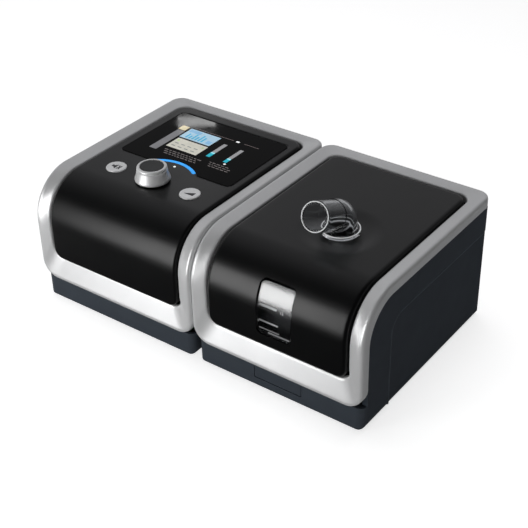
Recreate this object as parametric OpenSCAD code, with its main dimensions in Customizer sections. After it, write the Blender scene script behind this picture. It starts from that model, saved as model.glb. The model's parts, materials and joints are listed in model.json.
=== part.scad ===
// Bedside bilevel ventilator: a blower and control unit on the left, docked to a heated
// humidifier on the right. Millimetres. +X right, +Y to the rear, +Z up.
// The origin is the centre of the footprint, on the table.

/* [Overall size] */
// Width over both docked modules
unit_w = 290; // [288:1:294]
// Depth over the trim frames
unit_d = 172; // [170:1:176]
// Height of the ridge of the trim frames above the table
ridge_z = 104.5; // [104:0.5:108]
// Width of the blower and control unit
main_w = 148; // [146:1:150]
// Gap between the two docked modules
dock_gap = 1; // [0.5:0.5:1.5]
// Radius of the curve where the top runs down into the front
arc_r = 36; // [34:1:38]

/* [Trim frame] */
// Width of the silver band at the sides
band_side = 12; // [11:0.5:13]
// Height of the silver bar under the front
band_front = 18; // [16:1:19]
// Width of the silver band at the rear
band_rear = 10; // [9:0.5:10]
// Depth of the frame's outer wall
band_depth = 8; // [7:0.5:8]
// Height of the frame's lower edge above the table
frame_z = 21; // [20:0.5:22]
// Radius of the lower front corners
front_corner_r = 14; // [12:1:16]
// Radius of the rear corners
rear_corner_r = 10; // [8:1:12]
// Radius of the corners of the opening
opening_r = 9; // [8:1:10]

/* [Cover] */
// Gap between the cover and the frame
cover_gap = 1.75; // [1.5:0.25:2]
// Wall thickness of the cover
cover_wall = 2.5; // [2:0.25:2.5]
// How far the cover lies below the frame's ridge
cover_drop = 1; // [0.8:0.1:1.2]

/* [Controls] */
// Position of the control knob and buttons, left to right
panel_x = -70; // [-71:0.5:-69]
// Position of the control knob, front to rear
knob_y = -35; // [-36:0.5:-34.5]
// Distance of each button from the knob
button_pitch = 35.5; // [34:0.5:37]
// Diameter of each button
button_d = 15.8; // [15:0.2:16]
// Outer diameter of the control knob
knob_d = 26.7; // [25:0.1:28]
// Width of the screen glass
glass_w = 105.6; // [100:0.2:108]
// Depth of the screen glass, front to rear
glass_d = 76; // [74:1:78]

/* [Outlet] */
// Position of the outlet elbow, left to right
elbow_x = 81.5; // [78:0.5:84]
// Position of the outlet elbow, front to rear
elbow_y = -15.5; // [-18:0.5:-12]
// Outer radius of the hose connector
connector_r = 11; // [10.8:0.1:11.2]
// Tilt of the hose connector from the vertical
elbow_tilt = 65.6; // [60:0.1:70]
// Length of the hose connector from the bend
elbow_len = 34.6; // [32:0.2:36]

/* [Hidden] */
$fn = 96;

far = 300;
front_y = -unit_d / 2;
rear_y = unit_d / 2;
arc_y = front_y + arc_r;
arc_z = ridge_z - arc_r;
main_x0 = -unit_w / 2;
main_x1 = main_x0 + main_w;
hum_x0 = main_x1 + dock_gap;
hum_x1 = unit_w / 2;

// Casing shells
foot_h = 2.5;
floor_t = 2.5;
floor_z = foot_h + floor_t;
wall_gap_side = 2.5;
wall_out_side = 4;
wall_end = 2.5;
side_inset = 0.3;
gap_inset = 1.5;
case_front_y = front_y + 3;
case_rear_y = rear_y - 2;
case_top_inset = band_depth + 0.3;
case_lip_z = frame_z - 0.3;
case_corner_r = 6;
rear_cut_y = 80;
case_edge_r = 4;
recess_t = 1.5;
recess_y = -51;
recess_z = 76.5;
recess_r = 15;
main_cx0 = main_x0 + side_inset;
main_cx1 = main_x1 - gap_inset;
hum_cx0 = hum_x0 + gap_inset;
hum_cx1 = hum_x1 - side_inset;
rim_w = 4;
band_drop = 2.2;

// Fits and fixings
fit_gap = 0.2;
press_gap = 0.05;
part_gap = 0.3;
over = 1;
screw_r = 1.45;
screw_hole_r = 1.6;
head_r = 3;
head_hole_r = 3.3;
head_seat_z = 5.2;
head_z = 2.9;
drive_r = 1.3;
drive_z = 4.2;
boss_r = 4.5;
boss_z = 12;
screw_reach = 10;

// Heights inside the control unit
skin_z = ridge_z - cover_drop;
skin_under_z = skin_z - cover_wall;
flange_inset = case_top_inset + 2.7;
main_flange_y = 79;
post_cut_z0 = 80;
post_cut_z1 = 99;
ui_z = 90;
board_t = 1.6;
ui_top_z = ui_z + board_t;
glass_y0 = -12;
glass_t = 1.5;
glass_z = skin_z - 1.3;
glass_r = 3.5;
arc_in_r = 30;
arc_out_r = 32.4;
arc_half_angle = 36;
lcd_w = 78;
lcd_y0 = -1.6;
lcd_y1 = 50.4;
lcd_z = 96.9;
lcd_t = 4;
post_r = 3.5;
post_y = [-58, 70];
post_x = [main_x0 + 8.3, main_x1 - 8.2];
ui_post_x = [panel_x - 52, panel_x + 52];
ui_post_y = [-44, 68];
ui_post_r = 3;
ui_screw_r = 1.2;
ui_screw_len = 7;
ui_head_r = 2.3;
ui_head_t = 1.6;
ui_half_w = 56;
ui_y0 = -48;
ui_y1 = 72;
glass_gap = 0.15;
lens_gap = 0.1;
encoder_w = 13;
encoder_h = 6.4;
switch_w = 6.4;
switch_h = 3.4;
lcd_rim = 3;
lens_z = skin_z + 0.2;
led_y = -10.2;
led_r = 1;
bush_r = 4;
bush_z = 97;
shaft_r = 3;
shaft_z = 112.5;
plunger_z0 = 94.2;
plunger_z1 = 95.6;
button_y = knob_y - 0.5;
stem_r = 1.5;
knob_face_z = skin_z + 11.3;
knob_recess_r = 9;

// Blower
blower_x = -90;
blower_y = -8;
blower_r = 42;
blower_z = 16;
blower_mid_z = 42;
blower_top_z = 66;
blower_wall = 2;
motor_r = 19;
motor_shaft_r = 1.5;
motor_shaft_z = 59;
impeller_r = 32;
impeller_z = 45;
hub_r = 6;
blade_r0 = 5;
blade_r1 = 31;
blade_t = 1.2;
blade_h = 11;
volute_eye_r = 12;
lug_r = 46;
lug_pad_r = 6;
lug_t = 3;
lug_angles = [45:90:315];
air_y = 20;
air_z = 52;
air_bore_r = 9;
spout_r = 10;
spout_bore_r = 8;
spout_x = -44;
duct_r = 12.5;
duct_x0 = -50;
duct_step_x = -30;
duct_x1 = -5;
spigot_x0 = -16;
spigot_x1 = 12.7;
spigot_flange_x = -3.4;

// Circuit board, power inlet and dock plug
board_z = 9;
board_low = [-128, -78.5];
board_high = [-14, -52.5];
board_post_r = 2.5;
board_post_x = [-124, -18];
board_post_y = [-75, -56];
board_mid_y = -65;
capacitor_x = [-118, -104];
capacitor_r = 5;
capacitor_h = 16;
chips = [[[-92, -74], [-74, -58], 3], [[-66, -72], [-56, -58], 7],
         [[-50, -76], [-42, -55], 9]];
buzzer_x = -28;
buzzer_r = 6.5;
buzzer_top_z = 19;
buzzer_hole_r = 1.2;
inlet_x = -27;
inlet_z = 21;
inlet_half = 7;
inlet_y0 = 70;
plug_bore_r = 2.9;
plug_bore_y = 74.4;
plug_x0 = -7;
plug_x1 = 8.8;
contact_pitch = 3.4;
contact_r = 1;
contact_x = 6;
socket_x1 = 14;
socket_bed_x = 9.4;
plug_y0 = -48;
plug_y1 = -32;
plug_z0 = 44;
plug_z1 = 54;

// Filter at the rear
filter_x0 = -112;
filter_x1 = -68;
filter_z0 = 40;
filter_z1 = 80;
filter_y0 = 66;
filter_wall = 1.8;
filter_gap = 0.5;
cap_y = filter_y0 + 11;
slit_z0 = 48;
slit_z1 = 72;
duct_half = 12;
duct_wall = 1.6;
duct_y0 = -22;
duct_eye_r = 9.5;

// Memory card
card_y = 43;
card_w = 24;
card_t = 2.1;
card_z = 70.5;
card_x0 = main_x0 + 0.4;
card_len = 32;
slot_half = 15;
slot_x1 = -110;
slot_end_x = -112.2;
slot_below = 2;
slot_above = 4;
slot_relief = 0.4;

// Humidifier
tub_x = 76.5;
tub_y = -5;
heater_z = 17;
heater_r = 46;
heater_plate_r = 54;
insulator_in_r = 48;
insulator_out_r = 56;
heater_screw_r = 52;
heater_head_z = 2.8;
heater_screw_z = 13;
film_t = 1.4;
film_hole_r = 8;
chamber_z = 20;
chamber_top_z = 64;
chamber_x0 = 17;
chamber_x1 = 136;
chamber_y0 = -72;
chamber_y1 = 62;
chamber_r = 16;
chamber_wall = 2;
chamber_inlet_x = 13.3;
gasket_t = 2;
gasket_w = 3;
dome_inset = 8;
dome_h = 14;
neck_r = 12;
neck_bore_r = 10;
inlet_hole_r = 15;
hinge_y = 80;
hinge_z = 92;
knuckle_r = 3.5;
knuckle_len = 12;
knuckle_side = 7;
knuckle_gap = 0.4;
knuckle_cut_z = 87.5;
pin_r = 1.5;
hinge_x = [hum_x0 + 26, hum_x1 - 26];
hinge_relief_r = 4.2;
window_x0 = 60;
window_x1 = 88.4;
window_z0 = 52;
window_z1 = 91.5;
window_r = 3;
hum_flange_y = 75;
pane_under = 0.8;
pane_depth = 2.5;
catch_x0 = 67;
catch_x1 = 83;
catch_z0 = 17;
catch_z1 = 33;
seal_r = 14.5;
elbow_z0 = 96;
bend_z = 115.6;
bend_r = 11.6;
elbow_bore_r = 9;
collar_len = 12.5;
collar_r = 11.4;
elbow_flange_r = 14.2;
seal_gap = 0.3;
button_x0 = 55.8;
button_x1 = 95;
button_z0 = 9;
button_y1 = -78.6;
button_guide_x = 5;
button_guide_z = 16;
latch_inset = 14;
latch_y0 = -74;
latch_y1 = -72;
latch_z0 = 11.5;
latch_z1 = 18.5;
button_cut_y = -78;

// ---- Shared shapes ----

// Drawings given as (y, z), (x, z) and (x, y) become blocks along X, Y and Z.
module along_x(x0, x1) {
  translate([x0, 0, 0])
    rotate([90, 0, 90])
      linear_extrude(x1 - x0)
        children();
}

module along_y(y0, y1) {
  translate([0, y1, 0])
    rotate([90, 0, 0])
      linear_extrude(y1 - y0)
        children();
}

module along_z(z0, z1) {
  translate([0, 0, z0])
    linear_extrude(z1 - z0)
      children();
}

module block(low, high) {
  translate(low)
    cube(high - low);
}

module rect(x0, y0, x1, y1) {
  translate([x0, y0])
    square([x1 - x0, y1 - y0]);
}

module round_rect(x0, y0, x1, y1, r) {
  rect(x0 + r, y0, x1 - r, y1);
  rect(x0, y0 + r, x1, y1 - r);
  for (x = [x0 + r, x1 - r], y = [y0 + r, y1 - r])
    translate([x, y])
      circle(r);
}

module rod_x(x0, x1, y, z, r) {
  translate([x0, y, z])
    rotate([0, 90, 0])
      cylinder(h = x1 - x0, r = r);
}

module rod_y(y0, y1, x, z, r) {
  translate([x, y1, z])
    rotate([90, 0, 0])
      cylinder(h = y1 - y0, r = r);
}

module rod_z(z0, z1, x, y, r) {
  translate([x, y, z0])
    cylinder(h = z1 - z0, r = r);
}

// Side view of the body: a flat top that curves down into an upright front.
module profile(inset, low_z, back_y) {
  rect(arc_y, low_z, back_y, ridge_z - inset);
  rect(front_y + inset, low_z, arc_y, arc_z);
  translate([arc_y, arc_z])
    circle(arc_r - inset);
}

// A sheet that follows the side view between two depths below the ridge.
module curved_sheet(x0, x1, top, under) {
  along_x(x0, x1)
    difference() {
      profile(top, frame_z, rear_y);
      profile(under, frame_z - 10, far);
    }
}

// A block that cuts a round-cornered opening through the top and the front together.
module wrap_block(x0, x1, z0, y1, r) {
  along_y(front_y - 10, arc_y)
    round_rect(x0, z0, x1, ridge_z + 40, r);
  along_z(arc_z, ridge_z + 10)
    round_rect(x0, front_y - 40, x1, y1, r);
}

// The wrap block of a module's opening, grown outwards by grow.
module opening(x0, x1, grow, back_y = rear_y - band_rear) {
  wrap_block(x0 + band_side - grow, x1 - band_side + grow,
             frame_z + band_front - grow, back_y + grow, opening_r + grow * 0.5);
}

// Silver frame that wraps over the top and down the front of a module.
module trim_frame(x0, x1) {
  difference() {
    intersection() {
      curved_sheet(x0, x1, 0, band_depth);
      along_y(-far, far)
        round_rect(x0, frame_z, x1, far, front_corner_r);
      along_z(0, far)
        round_rect(x0, -far, x1, rear_y, rear_corner_r);
    }
    opening(x0, x1, 0);
    intersection() {
      along_x(x0, x1)
        difference() {
          profile(-2, frame_z - 5, far);
          profile(band_drop, frame_z - 10, far + 10);
        }
      wrap_block(x0 + rim_w, x1 - rim_w, frame_z + rim_w, rear_y - rim_w, opening_r);
    }
  }
}

// Black cover: a curved skin, a skirt round its edge and a flange under the frame.
module cover_shell(x0, x1, flange_y) {
  intersection() {
    curved_sheet(x0, x1, cover_drop, cover_drop + cover_wall);
    opening(x0, x1, -cover_gap);
  }
  difference() {
    intersection() {
      curved_sheet(x0, x1, cover_drop, flange_inset);
      opening(x0, x1, -cover_gap);
    }
    opening(x0, x1, -cover_gap - 2);
  }
  difference() {
    intersection() {
      curved_sheet(x0, x1, case_top_inset, flange_inset);
      opening(x0, x1, 4);
      block([x0, -far, 0], [x1, flange_y, far]);
    }
    opening(x0, x1, -cover_gap - 2);
  }
}

// Lower casing: an open tub whose side walls follow the side view.
module base_shell(x0, x1, in_x0, in_x1, outer_x, inward) {
  difference() {
    intersection() {
      along_x(x0, x1) {
        profile(case_top_inset, foot_h, case_rear_y);
        rect(case_front_y, foot_h, case_rear_y, case_lip_z);
      }
      along_z(0, far)
        round_rect(x0, case_front_y, x1, case_rear_y, case_corner_r);
      along_y(-far, far)
        round_rect(x0, foot_h, x1, far, case_edge_r);
    }
    along_z(floor_z, far)
      round_rect(in_x0, case_front_y + wall_end, in_x1, case_rear_y - wall_end, case_edge_r);
    side_recess(outer_x, inward);
  }
}

// Shallow step in the outer side wall, behind the raised band that backs the frame.
module side_recess(outer_x, inward) {
  x_a = min(outer_x - inward * 5, outer_x + inward * recess_t);
  x_b = max(outer_x - inward * 5, outer_x + inward * recess_t);
  along_x(x_a, x_b)
    round_rect(recess_y, -40, far, recess_z, recess_r);
}

module feet(x0, x1) {
  for (x = [x0 + 16, x1 - 16], y = [case_front_y + 16, case_rear_y - 16])
    translate([x, y, 0])
      cylinder(h = foot_h, r1 = 5.4, r2 = 6);
}

// Part of a ring, between two angles either side of the rear direction.
module ring_sector(r_in, r_out, half_angle) {
  intersection() {
    difference() {
      circle(r_out);
      circle(r_in);
    }
    polygon([[0, 0], [-far * sin(half_angle), far * cos(half_angle)],
             [far * sin(half_angle), far * cos(half_angle)]]);
  }
  for (side = [-1, 1])
    rotate(side * half_angle)
      translate([0, (r_in + r_out) / 2])
        circle((r_out - r_in) / 2 - 0.15);
}

// ---- Control unit: casing ----

module main_base_case() {
  color("#3b424a")
    difference() {
      union() {
        base_shell(main_cx0, main_cx1, main_cx0 + wall_out_side, main_cx1 - wall_gap_side,
                   main_cx0, 1);
        for (x = post_x, y = post_y)
          rod_z(foot_h + 0.5, boss_z, x, y, boss_r);
        for (x = board_post_x, y = board_post_y)
          rod_z(floor_z - over, board_z, x, y, board_post_r);
      }
      for (x = post_x, y = post_y) {
        rod_z(0, head_seat_z, x, y, head_hole_r);
        rod_z(head_seat_z - fit_gap, boss_z + over, x, y, screw_hole_r);
      }
      rod_x(main_cx1 - wall_gap_side - over, main_cx1 + over, air_y, air_z,
            connector_r + fit_gap);
      block([main_cx1 - 4, plug_y0 - fit_gap, plug_z0 - fit_gap],
            [main_cx1 + over, plug_y1 + fit_gap, plug_z1 + fit_gap]);
      block([filter_x0 + filter_wall, rear_cut_y, filter_z0 + filter_wall],
            [filter_x1 - filter_wall, far, filter_z1 - filter_wall]);
      block([inlet_x - inlet_half - fit_gap, rear_cut_y, inlet_z - inlet_half - fit_gap],
            [inlet_x + inlet_half + fit_gap, far, inlet_z + inlet_half + fit_gap]);
      block([main_x0 - over, card_y - card_w / 2 - slot_relief, card_z - slot_relief],
            [main_x0 + 6, card_y + card_w / 2 + slot_relief, card_z + card_t + slot_relief]);
    }
}

module main_trim_frame() {
  color("#b4b6b8")
    difference() {
      union() {
        trim_frame(main_x0, main_x1);
        intersection() {
          for (x = post_x, y = post_y)
            rod_z(boss_z, ridge_z, x, y, post_r);
          along_x(main_x0, main_x1)
            profile(band_drop + 2, 0, rear_y);
        }
      }
      for (x = post_x, y = post_y)
        rod_z(boss_z - over, boss_z + screw_reach + 2, x, y, screw_r + press_gap);
    }
}

module main_top_cover() {
  color("#232426")
    difference() {
      union() {
        cover_shell(main_x0, main_x1, main_flange_y);
        for (x = ui_post_x, y = ui_post_y)
          rod_z(ui_top_z, skin_under_z + 0.5, x, y, ui_post_r);
      }
      for (x = post_x, y = post_y)
        rod_z(post_cut_z0, post_cut_z1, x, y, post_r + 0.5);
      for (x = ui_post_x, y = ui_post_y)
        rod_z(ui_top_z - over, ui_z + ui_screw_len + over, x, y, ui_screw_r + press_gap);
      difference() {
        along_z(glass_z, far)
          round_rect(panel_x - glass_w / 2 - glass_gap, glass_y0 - glass_gap,
                     panel_x + glass_w / 2 + glass_gap, glass_y0 + glass_d + glass_gap, glass_r);
        rod_z(0, far, panel_x, knob_y, arc_out_r - lens_gap);
      }
      block([panel_x - lcd_w / 2 + lcd_rim, lcd_y0 + lcd_rim, ui_z],
            [panel_x + lcd_w / 2 - lcd_rim, lcd_y1 - lcd_rim, far]);
      translate([panel_x, knob_y, 0])
        along_z(ui_z, far)
          ring_sector(arc_in_r - lens_gap, arc_out_r + lens_gap, arc_half_angle + 0.3);
      rod_z(ui_z, far, panel_x, led_y, led_r + glass_gap);
      rod_z(ui_z, far, panel_x, knob_y, bush_r + 0.5);
      for (side = [-1, 1])
        rod_z(ui_z, far, panel_x + side * button_pitch, button_y, button_d / 2 + part_gap);
    }
}

module main_case_screws() {
  color("#8d9094")
    for (x = post_x, y = post_y) {
      difference() {
        rod_z(head_z, head_seat_z - 0.1, x, y, head_r);
        rod_z(head_z - over, drive_z, x, y, drive_r);
      }
      rod_z(head_seat_z - fit_gap, boss_z + screw_reach, x, y, screw_r);
    }
}

module main_feet() {
  color("#1c1c1e")
    feet(main_cx0, main_cx1);
}

// ---- Control unit: panel ----

module screen_glass() {
  color("#0c0c0e")
    difference() {
      along_z(glass_z, glass_z + glass_t)
        round_rect(panel_x - glass_w / 2, glass_y0, panel_x + glass_w / 2, glass_y0 + glass_d,
                   glass_r);
      rod_z(0, far, panel_x, knob_y, arc_out_r + glass_gap);
    }
}

module light_arc() {
  color("#3a9be8")
    translate([panel_x, knob_y, 0])
      along_z(ui_top_z + 1.4, lens_z)
        ring_sector(arc_in_r, arc_out_r, arc_half_angle);
}

module status_led() {
  color("#f2f4f5")
    rod_z(ui_top_z + 0.4, lens_z, panel_x, led_y, led_r);
}

module lcd_module() {
  color("#20242a")
    block([panel_x - lcd_w / 2, lcd_y0, lcd_z], [panel_x + lcd_w / 2, lcd_y1, lcd_z + lcd_t]);
}

module lcd_bracket() {
  color("#c8cacc")
    difference() {
      block([panel_x - lcd_w / 2, lcd_y0, ui_top_z], [panel_x + lcd_w / 2, lcd_y1, lcd_z]);
      block([panel_x - lcd_w / 2 + 2, lcd_y0 + 2, 0], [panel_x + lcd_w / 2 - 2, lcd_y1 - 2, far]);
    }
}

module ui_board() {
  color("#1f6b45")
    difference() {
      along_z(ui_z, ui_top_z)
        round_rect(panel_x - ui_half_w, ui_y0, panel_x + ui_half_w, ui_y1, 3);
      for (x = ui_post_x, y = ui_post_y)
        rod_z(0, far, x, y, ui_screw_r + fit_gap);
    }
}

module ui_screws() {
  color("#8d9094")
    for (x = ui_post_x, y = ui_post_y) {
      rod_z(ui_z - ui_head_t, ui_z, x, y, ui_head_r);
      rod_z(ui_z - over, ui_z + ui_screw_len, x, y, ui_screw_r);
    }
}

module encoder_body() {
  color("#9a9da1")
    difference() {
      union() {
        translate([panel_x, knob_y, ui_top_z + encoder_h / 2])
          cube([encoder_w, encoder_w, encoder_h], center = true);
        rod_z(bush_z, skin_z - 2, panel_x, knob_y, bush_r);
      }
      rod_z(plunger_z0 - 1, plunger_z1 + 0.8, panel_x, knob_y, bush_r + fit_gap);
      rod_z(plunger_z1 - 0.6, skin_z - 1.5, panel_x, knob_y, shaft_r + press_gap);
    }
}

module button_switches() {
  color("#3c3d40")
    for (side = [-1, 1])
      difference() {
        translate([panel_x + side * button_pitch, button_y, ui_top_z + switch_h / 2])
          cube([switch_w, switch_w, switch_h], center = true);
        rod_z(ui_top_z + 0.8, far, panel_x + side * button_pitch, button_y, stem_r + press_gap);
      }
}

module encoder_plunger() {
  color("#d8d2c0")
    rod_z(plunger_z0, plunger_z1, panel_x, knob_y, bush_r);
}

module encoder_shaft() {
  color("#b9bcc0")
    rod_z(plunger_z1 + 0.1, shaft_z, panel_x, knob_y, shaft_r);
}

module control_knob() {
  knob_r = knob_d / 2;
  color("#c4c6c8")
    translate([panel_x, knob_y, 0])
      difference() {
        rotate_extrude()
          polygon([[0, skin_z + 1], [knob_r, skin_z + 1], [knob_r, skin_z + 2.6],
                   [knob_r - 0.9, skin_z + 5], [knob_r - 1.9, skin_z + 8.4],
                   [knob_r - 1.9, skin_z + 9.6], [knob_r - 2.9, skin_z + 12.2],
                   [knob_recess_r, skin_z + 12.2], [knob_recess_r, knob_face_z],
                   [0, knob_face_z]]);
        rod_z(ui_z, shaft_z, 0, 0, shaft_r);
      }
}

module knob_cap() {
  color("#2a2b2d")
    rod_z(knob_face_z, skin_z + 12, panel_x, knob_y, knob_recess_r - 0.1);
}

module push_button(side) {
  rim_z = 99.2;
  stem_z = 96.2;
  tip_z = 93.6;
  translate([panel_x + side * button_pitch, button_y, 0]) {
    rod_z(rim_z + 1.4, skin_z + 0.9, 0, 0, button_d / 2);
    rod_z(rim_z, rim_z + 1.5, 0, 0, 9.2);
    rod_z(stem_z, rim_z + 0.1, 0, 0, 2.5);
    rod_z(tip_z, stem_z + 0.1, 0, 0, stem_r);
  }
}

module mute_button() {
  color("#c2c4c5")
    push_button(-1);
}

module ramp_button() {
  color("#c2c4c5")
    push_button(1);
}

// ---- Control unit: electronics ----

module main_board() {
  color("#1f6b45")
    along_z(board_z, board_z + board_t)
      round_rect(board_low[0], board_low[1], board_high[0], board_high[1], 2);
}

module board_components() {
  board_top = board_z + board_t;
  color("#33363a") {
    for (x = capacitor_x)
      rod_z(board_top, board_top + capacitor_h, x, board_mid_y, capacitor_r);
    for (chip = chips)
      block([chip[0][0], chip[0][1], board_top], [chip[1][0], chip[1][1], board_top + chip[2]]);
  }
}

module alarm_buzzer() {
  color("#161617")
    difference() {
      rod_z(board_z + board_t, buzzer_top_z, buzzer_x, board_mid_y, buzzer_r);
      rod_z(buzzer_top_z - 1.5, far, buzzer_x, board_mid_y, buzzer_hole_r);
    }
}

module dc_inlet() {
  color("#141416")
    difference() {
      block([inlet_x - inlet_half, inlet_y0, inlet_z - inlet_half],
            [inlet_x + inlet_half, case_rear_y + 0.4, inlet_z + inlet_half]);
      rod_y(plug_bore_y, far, inlet_x, inlet_z, plug_bore_r);
    }
}

module card_slot() {
  color("#8f9296")
    difference() {
      block([main_cx0 + wall_out_side, card_y - slot_half, card_z - slot_below],
            [slot_x1, card_y + slot_half, card_z + slot_above]);
      block([main_x0, card_y - card_w / 2 - part_gap, card_z - part_gap],
            [slot_end_x, card_y + card_w / 2 + part_gap, card_z + card_t + part_gap]);
    }
}

module memory_card() {
  color("#20355c")
    block([card_x0, card_y - card_w / 2, card_z], [card_x0 + card_len, card_y + card_w / 2,
          card_z + card_t]);
}

module dock_plug() {
  color("#141416")
    difference() {
      block([plug_x0, plug_y0, plug_z0], [plug_x1, plug_y1, plug_z1]);
      for (i = [0:3])
        rod_x(contact_x, plug_x1 + over, plug_y0 + 3 + i * contact_pitch,
              (plug_z0 + plug_z1) / 2, contact_r);
    }
}

// ---- Control unit: air path ----

module blower_motor_housing() {
  color("#4c5158")
    difference() {
      union() {
        rod_z(blower_z, blower_mid_z, blower_x, blower_y, blower_r);
        for (a = lug_angles)
          translate([blower_x, blower_y, blower_z])
            rotate(a)
              translate([lug_r, 0, 0])
                cylinder(h = lug_t, r = lug_pad_r);
      }
      rod_z(blower_z - over, blower_mid_z - blower_wall, blower_x, blower_y,
            blower_r - blower_wall);
      rod_z(0, far, blower_x, blower_y, hub_r);
    }
}

module blower_volute() {
  color("#565b62")
    difference() {
      union() {
        rod_z(blower_mid_z, blower_top_z, blower_x, blower_y, blower_r);
        rod_x(blower_x, spout_x, air_y, air_z, spout_r);
      }
      rod_z(blower_mid_z - over, blower_top_z - blower_wall, blower_x, blower_y,
            blower_r - blower_wall);
      rod_z(0, far, blower_x, blower_y, volute_eye_r);
      rod_x(blower_x, spout_x + over, air_y, air_z, spout_bore_r);
    }
}

module blower_motor() {
  color("#a9acb0")
    difference() {
      rod_z(blower_z + 4, blower_mid_z - blower_wall, blower_x, blower_y, motor_r);
      rod_z(0, far, blower_x, blower_y, motor_shaft_r + press_gap);
    }
}

module motor_shaft() {
  color("#c9cccf")
    rod_z(blower_z + 5, motor_shaft_z, blower_x, blower_y, motor_shaft_r);
}

module impeller() {
  color("#d9dbdd")
    translate([blower_x, blower_y, 0])
      difference() {
        union() {
          rod_z(impeller_z, impeller_z + 1.5, 0, 0, impeller_r);
          rod_z(impeller_z, motor_shaft_z - over, 0, 0, hub_r);
          for (a = [0:30:330])
            rotate(a)
              translate([blade_r0, -blade_t / 2, impeller_z + over])
                cube([blade_r1 - blade_r0, blade_t, blade_h]);
        }
        rod_z(0, far, 0, 0, motor_shaft_r);
      }
}

module blower_mounts() {
  color("#1c1c1e")
    for (a = lug_angles)
      translate([blower_x, blower_y, floor_z])
        rotate(a)
          translate([lug_r, 0, 0])
            cylinder(h = blower_z - floor_z, r = 5);
}

module inlet_duct() {
  color("#3d4147")
    difference() {
      block([blower_x - duct_half, duct_y0, blower_top_z],
            [blower_x + duct_half, filter_y0, filter_z1]);
      block([blower_x - duct_half + duct_wall, duct_y0 + duct_wall, blower_top_z + duct_wall],
            [blower_x + duct_half - duct_wall, far, filter_z1 - filter_wall]);
      rod_z(0, blower_top_z + 5, blower_x, blower_y, duct_eye_r);
    }
}

module filter_housing() {
  color("#3d4147")
    difference() {
      block([filter_x0, filter_y0, filter_z0], [filter_x1, case_rear_y - wall_end, filter_z1]);
      block([filter_x0 + filter_wall, filter_y0 + filter_wall, filter_z0 + filter_wall],
            [filter_x1 - filter_wall, far, filter_z1 - filter_wall]);
      block([blower_x - duct_half + duct_wall, filter_y0 - over, blower_top_z + duct_wall],
            [blower_x + duct_half - duct_wall, far, filter_z1 - filter_wall]);
    }
}

module inlet_filter() {
  color("#e8e6dc")
    block([filter_x0 + filter_wall + filter_gap, filter_y0 + filter_wall + 0.4,
           filter_z0 + filter_wall + filter_gap],
          [filter_x1 - filter_wall - filter_gap, cap_y - over,
           filter_z1 - filter_wall - filter_gap]);
}

module filter_cap() {
  skirt = filter_wall + 0.4;
  inside = skirt + 1.6;
  slit_pitch = 3.2;
  slit_half = 0.8;
  color("#2a2e33")
    difference() {
      union() {
        along_y(case_rear_y + fit_gap, rear_y - fit_gap)
          round_rect(filter_x0 - 2, filter_z0 - 2, filter_x1 + 2, filter_z1 + 2, 4);
        block([filter_x0 + skirt, cap_y, filter_z0 + skirt],
              [filter_x1 - skirt, case_rear_y + 0.4, filter_z1 - skirt]);
      }
      block([filter_x0 + inside, 0, filter_z0 + inside],
            [filter_x1 - inside, case_rear_y, filter_z1 - inside]);
      for (i = [-5:5])
        block([blower_x + i * slit_pitch - slit_half, 0, slit_z0],
              [blower_x + i * slit_pitch + slit_half, far, slit_z1]);
    }
}

module outlet_duct() {
  color("#55595f")
    difference() {
      rod_x(duct_x0, duct_x1, air_y, air_z, duct_r);
      rod_x(duct_x0 - over, duct_step_x, air_y, air_z, spout_r + press_gap);
      rod_x(duct_step_x - over, duct_x1 + over, air_y, air_z, connector_r + press_gap);
    }
}

module outlet_spigot() {
  color("#c9ccd0")
    difference() {
      union() {
        rod_x(spigot_x0, spigot_x1, air_y, air_z, connector_r);
        rod_x(spigot_flange_x, main_cx1 - wall_gap_side, air_y, air_z, inlet_hole_r);
      }
      rod_x(spigot_x0 - over, spigot_x1 + over, air_y, air_z, air_bore_r);
    }
}

// ---- Humidifier: base ----

module knuckle(x0, x1) {
  along_x(x0, x1) {
    translate([hinge_y, hinge_z])
      circle(knuckle_r);
    rect(hinge_y - 0.5, hinge_z - 9, hinge_y + 2.5, hinge_z);
  }
}

module humidifier_base_case() {
  knuckle_step = knuckle_len / 2 + knuckle_gap + knuckle_side / 2;
  color("#3b424a")
    difference() {
      union() {
        base_shell(hum_cx0, hum_cx1, hum_cx0 + wall_gap_side, hum_cx1 - wall_out_side,
                   hum_cx1, -1);
        for (x = hinge_x, side = [-1, 1])
          knuckle(x + side * knuckle_step - knuckle_side / 2,
                  x + side * knuckle_step + knuckle_side / 2);
      }
      along_x(hum_x0, hum_x1)
        difference() {
          rect(hinge_y, hinge_z, far, far);
          translate([hinge_y, hinge_z])
            circle(hinge_relief_r);
        }
      for (x = hinge_x) {
        block([x - knuckle_len / 2 - knuckle_gap, hinge_y - 2, knuckle_cut_z],
              [x + knuckle_len / 2 + knuckle_gap, far, far]);
        rod_x(x - 20, x + 20, hinge_y, hinge_z, pin_r + 0.02);
      }
      rod_x(hum_cx0 - over, hum_cx0 + wall_gap_side + over, air_y, air_z, inlet_hole_r);
      block([hum_cx0 - over, plug_y0 - fit_gap, plug_z0 - fit_gap],
            [hum_cx0 + 4, plug_y1 + fit_gap, plug_z1 + fit_gap]);
      block([button_x0 - part_gap, -far, button_z0 - part_gap],
            [button_x1 + part_gap, button_cut_y, far]);
      for (a = lug_angles)
        translate([tub_x, tub_y, 0])
          rotate(a)
            translate([heater_screw_r, 0, 0]) {
              cylinder(h = drive_z, r = head_hole_r);
              cylinder(h = floor_z + over, r = screw_hole_r);
            }
    }
}

module heater_insulator() {
  color("#d9d4c6")
    difference() {
      rod_z(floor_z, heater_z, tub_x, tub_y, insulator_out_r);
      rod_z(0, far, tub_x, tub_y, insulator_in_r);
      for (a = lug_angles)
        translate([tub_x, tub_y, 0])
          rotate(a)
            translate([heater_screw_r, 0, 0])
              cylinder(h = heater_screw_z + over, r = screw_r + press_gap);
    }
}

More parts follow.
